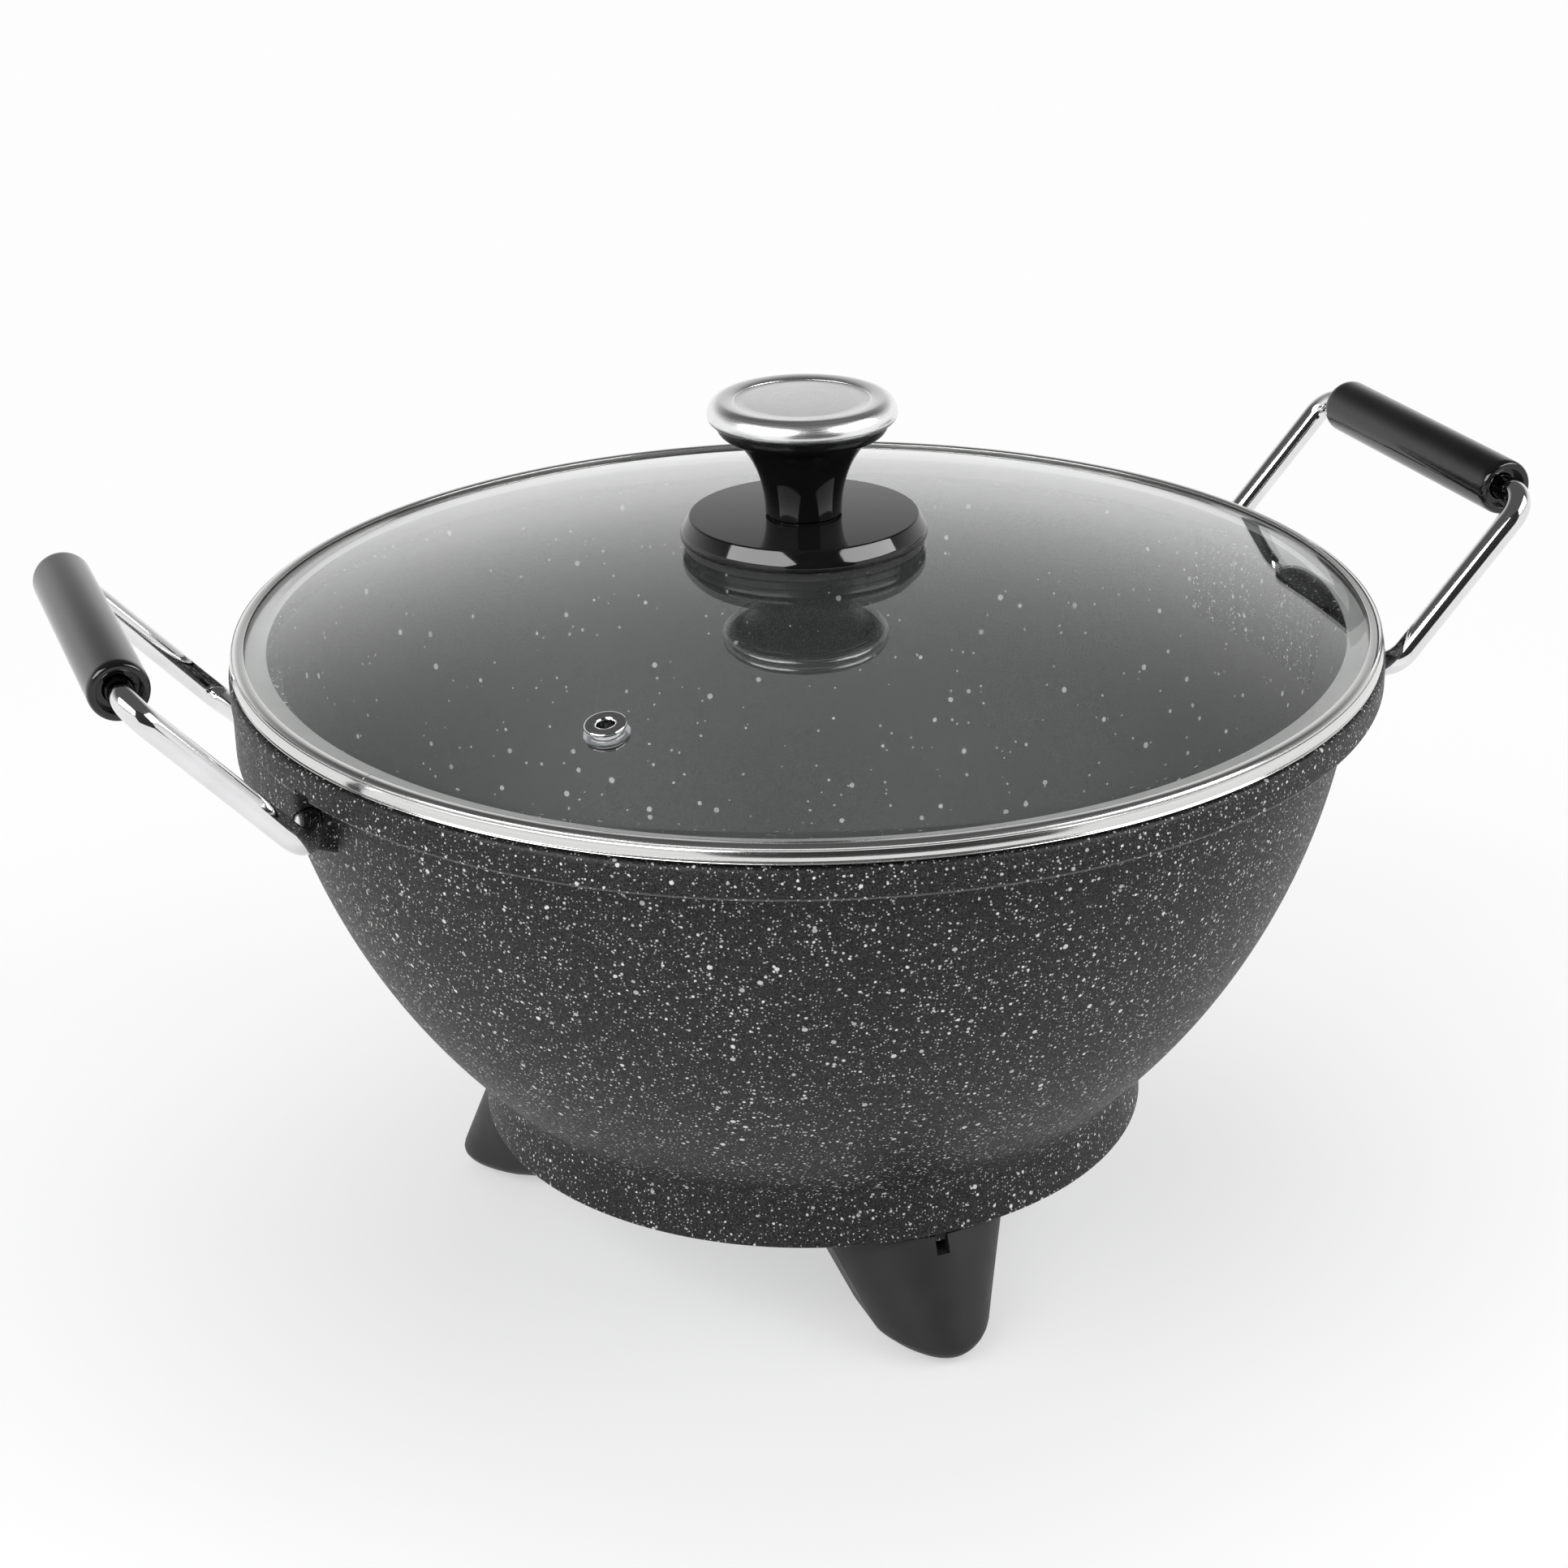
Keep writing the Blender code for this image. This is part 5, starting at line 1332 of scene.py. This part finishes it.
@dataclass
class Lid:
    """The domed glass, its rolled rim and the steam vent."""

    palette: Palette
    radius: float = 0.1800
    lip: float = 0.2022
    steel: float = 0.0005
    fit: float = 0.0003
    lap: float = 0.0045
    bead_inset: float = 0.0016
    skirt_radius: float = 0.1743
    skirt_low: float = 0.1953
    flange_radius: float = 0.1680
    seam_angle: float = math.radians(-154.8)
    seam_width: float = 0.0004
    seam_depth: float = 0.0005
    glass_thickness: float = 0.0035
    glass_rise: float = 0.0245
    glass_seat: float = 0.0020
    hole_radius: float = 0.0050
    vent_distance: float = 0.1310
    vent_angle: float = math.radians(-136.3)
    vent_hole: float = 0.0025
    vent_tube: float = 0.0041
    vent_flange: float = 0.0062
    vent_flange_height: float = 0.0013
    washer_thickness: float = 0.0006
    facets: int = 256

    def glass_low(self) -> float:
        """Height of the underside of the glass's flat edge."""
        return self.lip + self.steel + self.fit

    def dome_top(self) -> float:
        """Height of the middle of the glass."""
        return self.glass_low() + self.glass_thickness + self.glass_rise

    def sphere(self) -> float:
        """Radius of the dome's sphere."""
        edge = self.radius - self.lap - self.glass_seat
        return (edge**2 + self.glass_rise**2) / (2 * self.glass_rise)

    def dome(self, radius: float) -> float:
        """Height of the glass's upper face at a distance from the axis."""
        return self.dome_top() - self.sphere() + math.sqrt(self.sphere() ** 2 - radius**2)

    def vent_frame(self) -> Matrix:
        """Where the vent sits: on the glass, square to the dome."""
        lean = math.asin(self.vent_distance / self.sphere())
        place = Matrix.Translation((self.vent_distance, 0, self.dome(self.vent_distance)))
        return Matrix.Rotation(self.vent_angle, 4, "Z") @ place @ Matrix.Rotation(lean, 4, "Y")

    def build_glass(self) -> None:
        """Make and dress the glass."""
        edge = self.radius - self.lap - self.glass_seat
        outer = self.radius - self.steel - self.fit
        spans = 40
        width = edge - self.hole_radius
        radii = [self.hole_radius + width * step / spans for step in range(spans + 1)]
        upper = [(radius, self.dome(radius)) for radius in radii]
        lower = [(radius, height - self.glass_thickness) for radius, height in reversed(upper)]
        top = self.glass_low() + self.glass_thickness
        outline = upper + softened([(outer, top), (outer, self.glass_low())], [0, 0]) + lower
        form = spun(outline, True, self.facets)
        glass = as_object("domed_glass", form, [self.palette.glass.material()])
        under = (0, 0, -self.glass_thickness - OVERRUN)
        drill = bar(under, (0, 0, OVERRUN), self.vent_tube + self.fit, 48)
        bmesh.ops.transform(drill, matrix=self.vent_frame(), verts=drill.verts)
        combined(glass, Join.CUT, [drill])
        settle(smoothed(glass), Body.LID, Slot.GLASS, "lid_glass")

    def build_rim(self) -> None:
        """Make and dress the rolled rim: a convex bead over a small rolled lip, with a skirt inside."""
        top = self.glass_low() + self.glass_thickness + self.fit + self.steel
        lap = self.radius - self.lap
        web = self.radius - self.steel - 0.0001
        bead_low = self.lip + 0.0011
        middle = (self.radius - self.bead_inset - 0.0011, bead_low)
        bead = oval_arc(middle, 0.0027, top - bead_low, math.pi / 2, 0, 14)
        outline = [Vector((lap, top - self.steel / 3)), Vector((lap + 0.0003, top))]
        outline += bead
        outline.append(Vector((self.radius - 0.0003, bead_low - 0.0002)))
        outline.append(Vector((self.radius, bead_low - 0.0005)))
        outline += softened(
            [
                (self.radius, self.lip),
                (self.skirt_radius, self.lip),
                (self.skirt_radius, self.skirt_low),
                (self.skirt_radius - self.steel, self.skirt_low),
                (self.skirt_radius - self.steel, self.lip),
                (self.flange_radius, self.lip),
                (self.flange_radius, self.lip + self.steel),
                (web, self.lip + self.steel),
                (web, top - 2.5 * self.steel),
                (lap + 0.0022, top - self.steel),
                (lap, top - self.steel),
            ],
            [0.0003, 0.0006, 0.0002, 0.0002, 0.0006, 0.0002, 0.0002, 0, 0, 0, 0],
        )
        form = spun(outline, True, self.facets)
        for face in form.faces:
            centre = face.calc_center_median()
            inner = centre.xy.length < self.skirt_radius + self.steel
            if inner and centre.z < self.lip + 1.5 * self.steel:
                face.material_index = 1
        finishes = (self.palette.rim.material(), self.palette.flange.material())
        rim = as_object("rolled_rim", form, finishes)
        seam = block(
            (self.radius - self.lap, -self.seam_width / 2, self.lip - self.steel),
            (self.radius + self.steel, self.seam_width / 2, top + self.steel),
        )
        keep = block(
            (self.radius - self.lap - self.steel, -self.lap, self.lip - 2 * self.steel),
            (self.radius - self.seam_depth, self.lap, top - self.seam_depth),
        )
        plug = as_object("seam", seam)
        combined(plug, Join.CUT, [keep])
        seam = bmesh.new()
        seam.from_mesh(plug.data)
        bpy.data.objects.remove(plug, do_unlink=True)
        bmesh.ops.rotate(seam, verts=seam.verts, matrix=Matrix.Rotation(self.seam_angle, 3, "Z"))
        combined(rim, Join.CUT, [seam])
        settle(smoothed(rim), Body.LID, Slot.POLISHED, "lid_rim")

    def build_vent(self) -> None:
        """Make and dress the rolled eyelet."""
        high = self.fit
        low = -self.glass_thickness - 2 * self.fit - self.washer_thickness
        roll = self.vent_flange_height
        outline = softened(
            [
                (self.vent_hole, low - roll),
                (self.vent_flange, low - roll),
                (self.vent_flange, low),
                (self.vent_tube, low),
                (self.vent_tube, high),
                (self.vent_flange, high),
                (self.vent_flange, high + roll),
                (self.vent_hole, high + roll),
            ],
            [roll / 2, roll * 0.8, roll / 3, 0, 0, roll / 3, roll * 0.9, roll],
        )
        form = spun(outline, True, 64)
        vent = as_object("rolled_eyelet", form, [self.palette.chrome.material()])
        vent.data.transform(self.vent_frame())
        settle(smoothed(vent), Body.LID, Slot.CHROME, "steam_vent")

    def build(self) -> None:
        """Make and dress the lid."""
        self.build_glass()
        self.build_rim()
        self.build_vent()


@dataclass
class Knob:
    """The lid's knob above the glass."""

    palette: Palette
    lid: Lid
    gasket_radius: float = 0.0375
    gasket_thickness: float = 0.0016
    fit: float = 0.0003
    hole: float = 0.0023
    base_radius: float = 0.0386
    base_top_radius: float = 0.0358
    base_height: float = 0.0066
    base_edge: float = 0.0021
    stem_foot_radius: float = 0.0119
    stem_flare: float = 0.0215
    stem_height: float = 0.0295
    collar_height: float = 0.0046
    collar_radius: float = 0.0225
    collar_top_radius: float = 0.0268
    collar_lip: float = 0.0004
    cap_radius: float = 0.0294
    cap_height: float = 0.0072
    cap_widest_rise: float = 0.0022
    crown_radius: float = 0.0250
    dish_radius: float = 0.0210
    dish_depth: float = 0.0007
    facets: int = 128

    def levels(self) -> dict[str, float]:
        """The heights at which the knob's pieces start."""
        base = self.lid.dome_top() + self.gasket_thickness + self.fit
        stem = base + self.base_height + self.fit
        cap = stem + self.stem_height + self.fit
        return {"base": base, "stem": stem, "cap": cap}

    def build_gasket(self) -> None:
        """Make and dress the translucent disc on the glass."""
        top = self.lid.dome_top() + self.gasket_thickness
        spans = 8
        inner = self.lid.hole_radius
        width = self.gasket_radius - inner
        radii = [inner + width * step / spans for step in range(spans + 1)]
        outline = [Vector((radius, self.lid.dome(radius) + self.fit)) for radius in radii]
        outline += softened([(self.gasket_radius, top), (inner, top)], [0, 0])
        form = spun(outline, True, self.facets)
        gasket = as_object("silicone_disc", form, [self.palette.silicone.material()])
        settle(smoothed(gasket), Body.LID, Slot.SILICONE, "knob_gasket")

    def build_base(self) -> None:
        """Make and dress the black disc with its chamfer."""
        low = self.levels()["base"]
        top = low + self.base_height
        outline = softened(
            [
                (self.hole, low),
                (self.base_radius, low),
                (self.base_radius, low + self.base_edge),
                (self.base_top_radius, top),
                (self.hole, top),
            ],
            [0, 0.0006, 0.0010, 0.0005, 0],
        )
        form = spun(outline, True, self.facets)
        base = as_object("knob_disc", form, [self.palette.gloss.material()])
        settle(smoothed(base), Body.LID, Slot.GLOSS_BLACK, "knob_base")

    def build_stem(self) -> None:
        """Make and dress the flared stem, with a groove at its foot and a collar under the cap."""
        low = self.levels()["stem"]
        top = low + self.stem_height
        collar = top - self.collar_height
        groove = 0.0006
        foot = self.stem_foot_radius
        outline = [Vector((0, low))]
        outline += [Vector((foot - groove, low)), Vector((foot - groove, low + groove))]
        spans = 24
        rise = collar - low - groove
        for step in range(spans + 1):
            height = rise * step / spans
            turn = math.asin(height / (self.stem_height - groove))
            radius = foot + self.stem_flare * (1 - math.cos(turn))
            outline.append(Vector((min(radius, self.collar_radius), low + groove + height)))
        lip = self.collar_lip
        outline.append(Vector((self.collar_radius + lip, collar + lip / 2)))
        outline += oval_arc(
            (self.collar_radius + lip, top),
            self.collar_top_radius - self.collar_radius - lip,
            lip - self.collar_height,
            math.pi / 2,
            0,
            8,
        )[1:]
        outline += [Vector((self.collar_top_radius, top)), Vector((0, top))]
        form = spun(outline, False, self.facets)
        stem = as_object("flared_stem", form, [self.palette.gloss.material()])
        settle(smoothed(stem), Body.LID, Slot.GLOSS_BLACK, "knob_stem")

    def build_cap(self) -> None:
        """Make and dress the steel cap: a rounded crown round a shallow dish."""
        low = self.levels()["cap"]
        top = low + self.cap_height
        widest = low + self.cap_widest_rise
        dish = top - self.dish_depth
        seat = self.collar_top_radius
        crown = self.crown_radius
        quarter = math.pi / 2
        outline = [Vector((0, low + 0.0008)), Vector((seat - 0.0006, low + 0.0008))]
        outline += [Vector((seat - 0.0004, low))]
        outline += oval_arc((seat, widest), self.cap_radius - seat, widest - low, -quarter, 0, 8)
        outer, inner = self.cap_radius - crown, crown - self.dish_radius
        outline += oval_arc((crown, widest), outer, top - widest, 0, quarter, 16)[1:]
        outline += oval_arc((crown, dish), inner, top - dish, quarter, math.pi, 8)[1:]
        outline += [
            Vector((self.dish_radius - 0.0003, dish - 0.0001)),
            Vector((self.dish_radius - 0.0030, dish)),
            Vector((0, dish + 0.0002)),
        ]
        form = spun(outline, False, self.facets)
        cap = as_object("steel_cap", form, [self.palette.cap.material()])
        settle(smoothed(cap), Body.LID, Slot.BRUSHED, "knob_cap")

    def build(self) -> None:
        """Make and dress the knob."""
        self.build_gasket()
        self.build_base()
        self.build_stem()
        self.build_cap()


@dataclass
class Inlet:
    """The turned pieces of the inlet, which faces +Y."""

    palette: Palette
    height: float = 0.0526
    pin_spacing: float = 0.0254
    pin_radius: float = 0.0024
    pin_start: float = 0.0790
    pin_length: float = 0.0310
    guard_start: float = 0.0845
    guard_back_wall: float = 0.0020
    fit: float = 0.0003
    flange: float = 0.0024
    flange_radius: float = 0.0062
    body_radius: float = 0.0048
    nose: float = 0.0030
    sleeve_radius: float = 0.0040
    sleeve_wall: float = 0.0008
    sleeve_length: float = 0.0400
    collar_radius: float = 0.0059

    def laid(
        self,
        name: str,
        outline: Sequence[Sequence[float]],
        closed: bool,
        x: float,
        finish: Finish,
    ) -> bpy.types.Object:
        """Turn an outline and lay it along +Y.

        Args:
            name: the piece's name.
            outline: its (radius, distance) points.
            closed: whether the outline is closed.
            x: the piece's place across the inlet.
            finish: its finish.

        Returns:
            The piece.
        """
        piece = as_object(name, spun(outline, closed, 40), [finish.material()])
        lie = Matrix.Translation((x, 0, self.height)) @ Matrix.Rotation(-math.pi / 2, 4, "X")
        piece.data.transform(lie)
        return smoothed(piece)

    def build(self) -> None:
        """Make and dress the pins, their insulators and the probe's sleeve."""
        flange_start = self.guard_start - self.fit - self.flange
        flange_end = self.guard_start - self.fit
        end = self.pin_start + self.pin_length
        pin = softened(
            [(0, self.pin_start), (self.pin_radius, self.pin_start), (self.pin_radius, end), (0, end)],
            [0, 0, 0.0012, 0],
            closed=False,
        )
        bore = self.pin_radius + self.fit
        nose = self.guard_start + self.guard_back_wall + self.nose
        insulator = softened(
            [
                (bore, flange_start),
                (self.flange_radius, flange_start),
                (self.flange_radius, flange_end),
                (self.body_radius, flange_end),
                (self.body_radius, nose),
                (bore, nose),
            ],
            [0, 0.0004, 0.0002, 0, 0.0006, 0],
        )
        for side, name in ((-1, "left"), (1, "right")):
            x = side * self.pin_spacing / 2
            piece = self.laid(f"contact_pin_{name}", pin, False, x, self.palette.chrome)
            settle(piece, Body.COOKER, Slot.CHROME, f"terminal_pin_{name}")
            piece = self.laid(f"ceramic_bush_{name}", insulator, True, x, self.palette.ceramic)
            settle(piece, Body.COOKER, Slot.CERAMIC, f"pin_insulator_{name}")
        sleeve_end = self.guard_start + self.guard_back_wall + self.sleeve_length / 3
        start = sleeve_end - self.sleeve_length
        inner = self.sleeve_radius - self.sleeve_wall
        sleeve = softened(
            [
                (inner, start),
                (self.sleeve_radius, start),
                (self.sleeve_radius, flange_start),
                (self.collar_radius, flange_start),
                (self.collar_radius, flange_end),
                (self.sleeve_radius, flange_end),
                (self.sleeve_radius, sleeve_end),
                (inner, sleeve_end),
            ],
            [0, 0, 0, 0.0003, 0.0003, 0, 0.0003, 0.0003],
        )
        piece = self.laid("probe_sleeve", sleeve, True, 0, self.palette.zinc)
        settle(piece, Body.COOKER, Slot.ZINC, "thermostat_probe_sleeve")


@dataclass
class KeptSolids:
    """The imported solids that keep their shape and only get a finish."""

    palette: Palette

    def build(self) -> None:
        """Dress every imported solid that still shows."""
        by_slot = {
            Slot.ZINC: self.palette.zinc,
            Slot.SHEATH: self.palette.sheath,
            Slot.SATIN_BLACK: self.palette.satin,
            Slot.SILICONE: self.palette.silicone,
            Slot.RUBBER: self.palette.rubber,
        }
        slots = {part["node"]: part["material_slot"] for part in frame["record"]["subparts"]}
        for name, node in frame["nodes"].items():
            if node.hide_render:
                continue
            material = by_slot[Slot(slots[name])].material()
            for holder in node.material_slots:
                holder.material = material
            LOG.info("%s keeps its solid, in %s", name, material.name)


@dataclass(frozen=True)
class Lamp:
    """A soft lamp, placed in degrees from the camera's side and in metres."""

    azimuth: float
    elevation: float
    distance: float
    width: float
    height: float
    power: float
    lights: bool = True
    shows: bool = True


@dataclass
class Studio:
    """Floor, lamps, dark card, sky and camera, all set out from the camera's side."""

    turn: float = math.radians(-20.33)
    elevation: float = math.radians(23.51)
    roll: float = math.radians(1.11)
    distance: float = 1.02222
    target: tuple[float, float, float] = (-0.00779, 0.0, 0.14745)
    focal: float = 3899.52
    photo_width: float = 1932.0
    sensor: float = 36.0
    floor_reach: float = 14.0
    middle_height: float = 0.12
    card_size: tuple[float, float] = (2.4, 1.9)
    lamps: tuple[Lamp, ...] = (
        Lamp(-48, 38, 2.0, 2.10, 0.90, 18, shows=False),
        Lamp(71, 38, 2.1, 1.75, 0.90, 15, shows=False),
        Lamp(175, 72, 2.2, 1.80, 1.40, 14, shows=False),
        Lamp(-48, 38, 1.75, 1.84, 0.79, 34, lights=False),
        Lamp(71, 38, 1.75, 1.46, 0.75, 26, lights=False),
    )

    def toward(self, azimuth: float, elevation: float, distance: float) -> Vector:
        """A point round the wok.

        Args:
            azimuth: degrees to the right of the camera.
            elevation: degrees above the floor.
            distance: from the wok's middle.

        Returns:
            The point.
        """
        a, e = math.radians(azimuth) + self.turn, math.radians(elevation)
        away = Vector((math.sin(a) * math.cos(e), -math.cos(a) * math.cos(e), math.sin(e)))
        return Vector((0, 0, self.middle_height)) + away * distance

    def facing(self, place: Vector) -> Matrix:
        """A frame at a place whose -Z looks at the wok's middle."""
        look = Vector((0, 0, self.middle_height)) - place
        return Matrix.Translation(place) @ look.to_track_quat("-Z", "Y").to_matrix().to_4x4()

    def build_lamps(self) -> None:
        """Hang the soft lamps."""
        for index, lamp in enumerate(self.lamps):
            light = bpy.data.lights.new(f"soft_lamp_{index}", "AREA")
            light.shape = "RECTANGLE"
            light.size = lamp.width
            light.size_y = lamp.height
            light.energy = lamp.power
            holder = bpy.data.objects.new(light.name, light)
            bpy.context.scene.collection.objects.link(holder)
            place = self.toward(lamp.azimuth, lamp.elevation, lamp.distance)
            holder.matrix_world = self.facing(place)
            holder.visible_diffuse = lamp.lights
            holder.visible_glossy = lamp.shows
            holder.visible_camera = False
            holder.visible_transmission = False

    def build_card(self) -> None:
        """Stand a dark card on the camera's side, which only reflections show."""
        material = bpy.data.materials.new("dark_card")
        material.use_nodes = True
        Graph(material).principled(Base_Color=grey(0.015), Roughness=1.0)
        form = bmesh.new()
        bmesh.ops.create_grid(form, x_segments=1, y_segments=1, size=0.5)
        bmesh.ops.scale(form, vec=(*self.card_size, 1), verts=form.verts)
        stand = self.facing(self.toward(14, 24, 1.9))
        bmesh.ops.transform(form, matrix=stand, verts=form.verts)
        card = as_object("dark_card", form, [material])
        for ray in ("camera", "diffuse", "transmission", "shadow", "volume_scatter"):
            setattr(card, f"visible_{ray}", False)

    def build_floor(self) -> None:
        """Lay the white floor, which keeps the wok's shadow near it."""
        material = bpy.data.materials.new("white_floor")
        material.use_nodes = True
        graph = Graph(material)
        shader = graph.principled(Base_Color=grey(0.9), Roughness=0.9, Specular_IOR_Level=0.0)
        place = graph.place()
        length = graph.add("ShaderNodeVectorMath", {0: place}, operation="LENGTH")
        reach = length.outputs["Value"]
        far = graph.spread(reach, 0.22, 0.70, 0.50, 1.0)
        rays = graph.add("ShaderNodeLightPath").outputs
        seen = graph.math("MAXIMUM", rays["Is Camera Ray"], rays["Is Transmission Ray"])
        seen = graph.math("MAXIMUM", seen, rays["Is Glossy Ray"])
        glow = graph.add("ShaderNodeEmission", {"Color": grey(1.0), "Strength": 0.985})
        mixed = graph.add(
            "ShaderNodeMixShader",
            {0: graph.math("MULTIPLY", far, seen), 1: shader.outputs[0], 2: glow.outputs[0]},
        )
        output = material.node_tree.nodes["Material Output"]
        material.node_tree.links.new(mixed.outputs[0], output.inputs["Surface"])
        form = bmesh.new()
        bmesh.ops.create_circle(form, cap_ends=True, segments=96, radius=self.floor_reach)
        floor = as_object("white_floor", form, [material])

    def build_sky(self) -> None:
        """Light the surroundings: white where they are seen, greyer overhead in reflections."""
        world = bpy.data.worlds.new("studio")
        bpy.context.scene.world = world
        world.use_nodes = True
        tree = world.node_tree
        nodes, links = tree.nodes, tree.links
        background = nodes["Background"]
        rays = nodes.new("ShaderNodeLightPath")
        ways = nodes.new("ShaderNodeTexCoord")
        axes = nodes.new("ShaderNodeSeparateXYZ")
        links.new(ways.outputs["Generated"], axes.inputs[0])
        fade = nodes.new("ShaderNodeMapRange")
        fade.interpolation_type = "SMOOTHSTEP"
        ends = {"From Min": 0.10, "From Max": 0.64, "To Min": 1.0, "To Max": 0.10}
        for key, value in ends.items():
            fade.inputs[key].default_value = value
        links.new(axes.outputs["Z"], fade.inputs["Value"])
        ambient = nodes.new("ShaderNodeMix")
        ambient.inputs[2].default_value = 0.60
        links.new(rays.outputs["Is Glossy Ray"], ambient.inputs[0])
        links.new(fade.outputs["Result"], ambient.inputs[3])
        seen = nodes.new("ShaderNodeMath")
        seen.operation = "MAXIMUM"
        links.new(rays.outputs["Is Camera Ray"], seen.inputs[0])
        links.new(rays.outputs["Is Transmission Ray"], seen.inputs[1])
        strength = nodes.new("ShaderNodeMix")
        strength.inputs[3].default_value = 1.0
        links.new(seen.outputs[0], strength.inputs[0])
        links.new(ambient.outputs[0], strength.inputs[2])
        links.new(strength.outputs[0], background.inputs["Strength"])
        background.inputs["Color"].default_value = grey(1.0)

    def build_camera(self) -> None:
        """Set up the camera at the photograph's angle."""
        e, r = self.elevation, self.roll
        back = Vector((0, -math.cos(e), math.sin(e)))
        right, up = Vector((1, 0, 0)), Vector((0, math.sin(e), math.cos(e)))
        across = right * math.cos(r) - up * math.sin(r)
        upward = right * math.sin(r) + up * math.cos(r)
        place = Vector(self.target) + back * self.distance
        pose = Matrix.Identity(4)
        for column, vector in enumerate((across, upward, back, place)):
            for row in range(3):
                pose[row][column] = vector[row]
        data = bpy.data.cameras.new("camera")
        data.sensor_width = self.sensor
        data.lens = self.focal / self.photo_width * self.sensor
        data.clip_start, data.clip_end = 0.01, 100.0
        camera = bpy.data.objects.new("camera", data)
        bpy.context.scene.collection.objects.link(camera)
        camera.matrix_world = Matrix.Rotation(self.turn, 4, "Z") @ pose
        bpy.context.scene.camera = camera

    def build(self) -> None:
        """Set up the whole studio."""
        bpy.context.scene.view_settings.view_transform = "Standard"
        self.build_camera()
        self.build_floor()
        self.build_sky()
        self.build_lamps()
        self.build_card()


def main() -> None:
    """Build the wok and its studio."""
    logging.basicConfig(level=logging.INFO, format="%(message)s")
    palette = Palette()
    handles = Handles(palette)
    lid = Lid(palette)
    Studio().build()
    Bowl(palette).build({side: handles.corners(side) for side in LEFT_AND_RIGHT})
    handles.build()
    Legs(palette).build()
    lid.build()
    Knob(palette, lid).build()
    Inlet(palette).build()
    KeptSolids(palette).build()


if __name__ == "__main__":
    main()
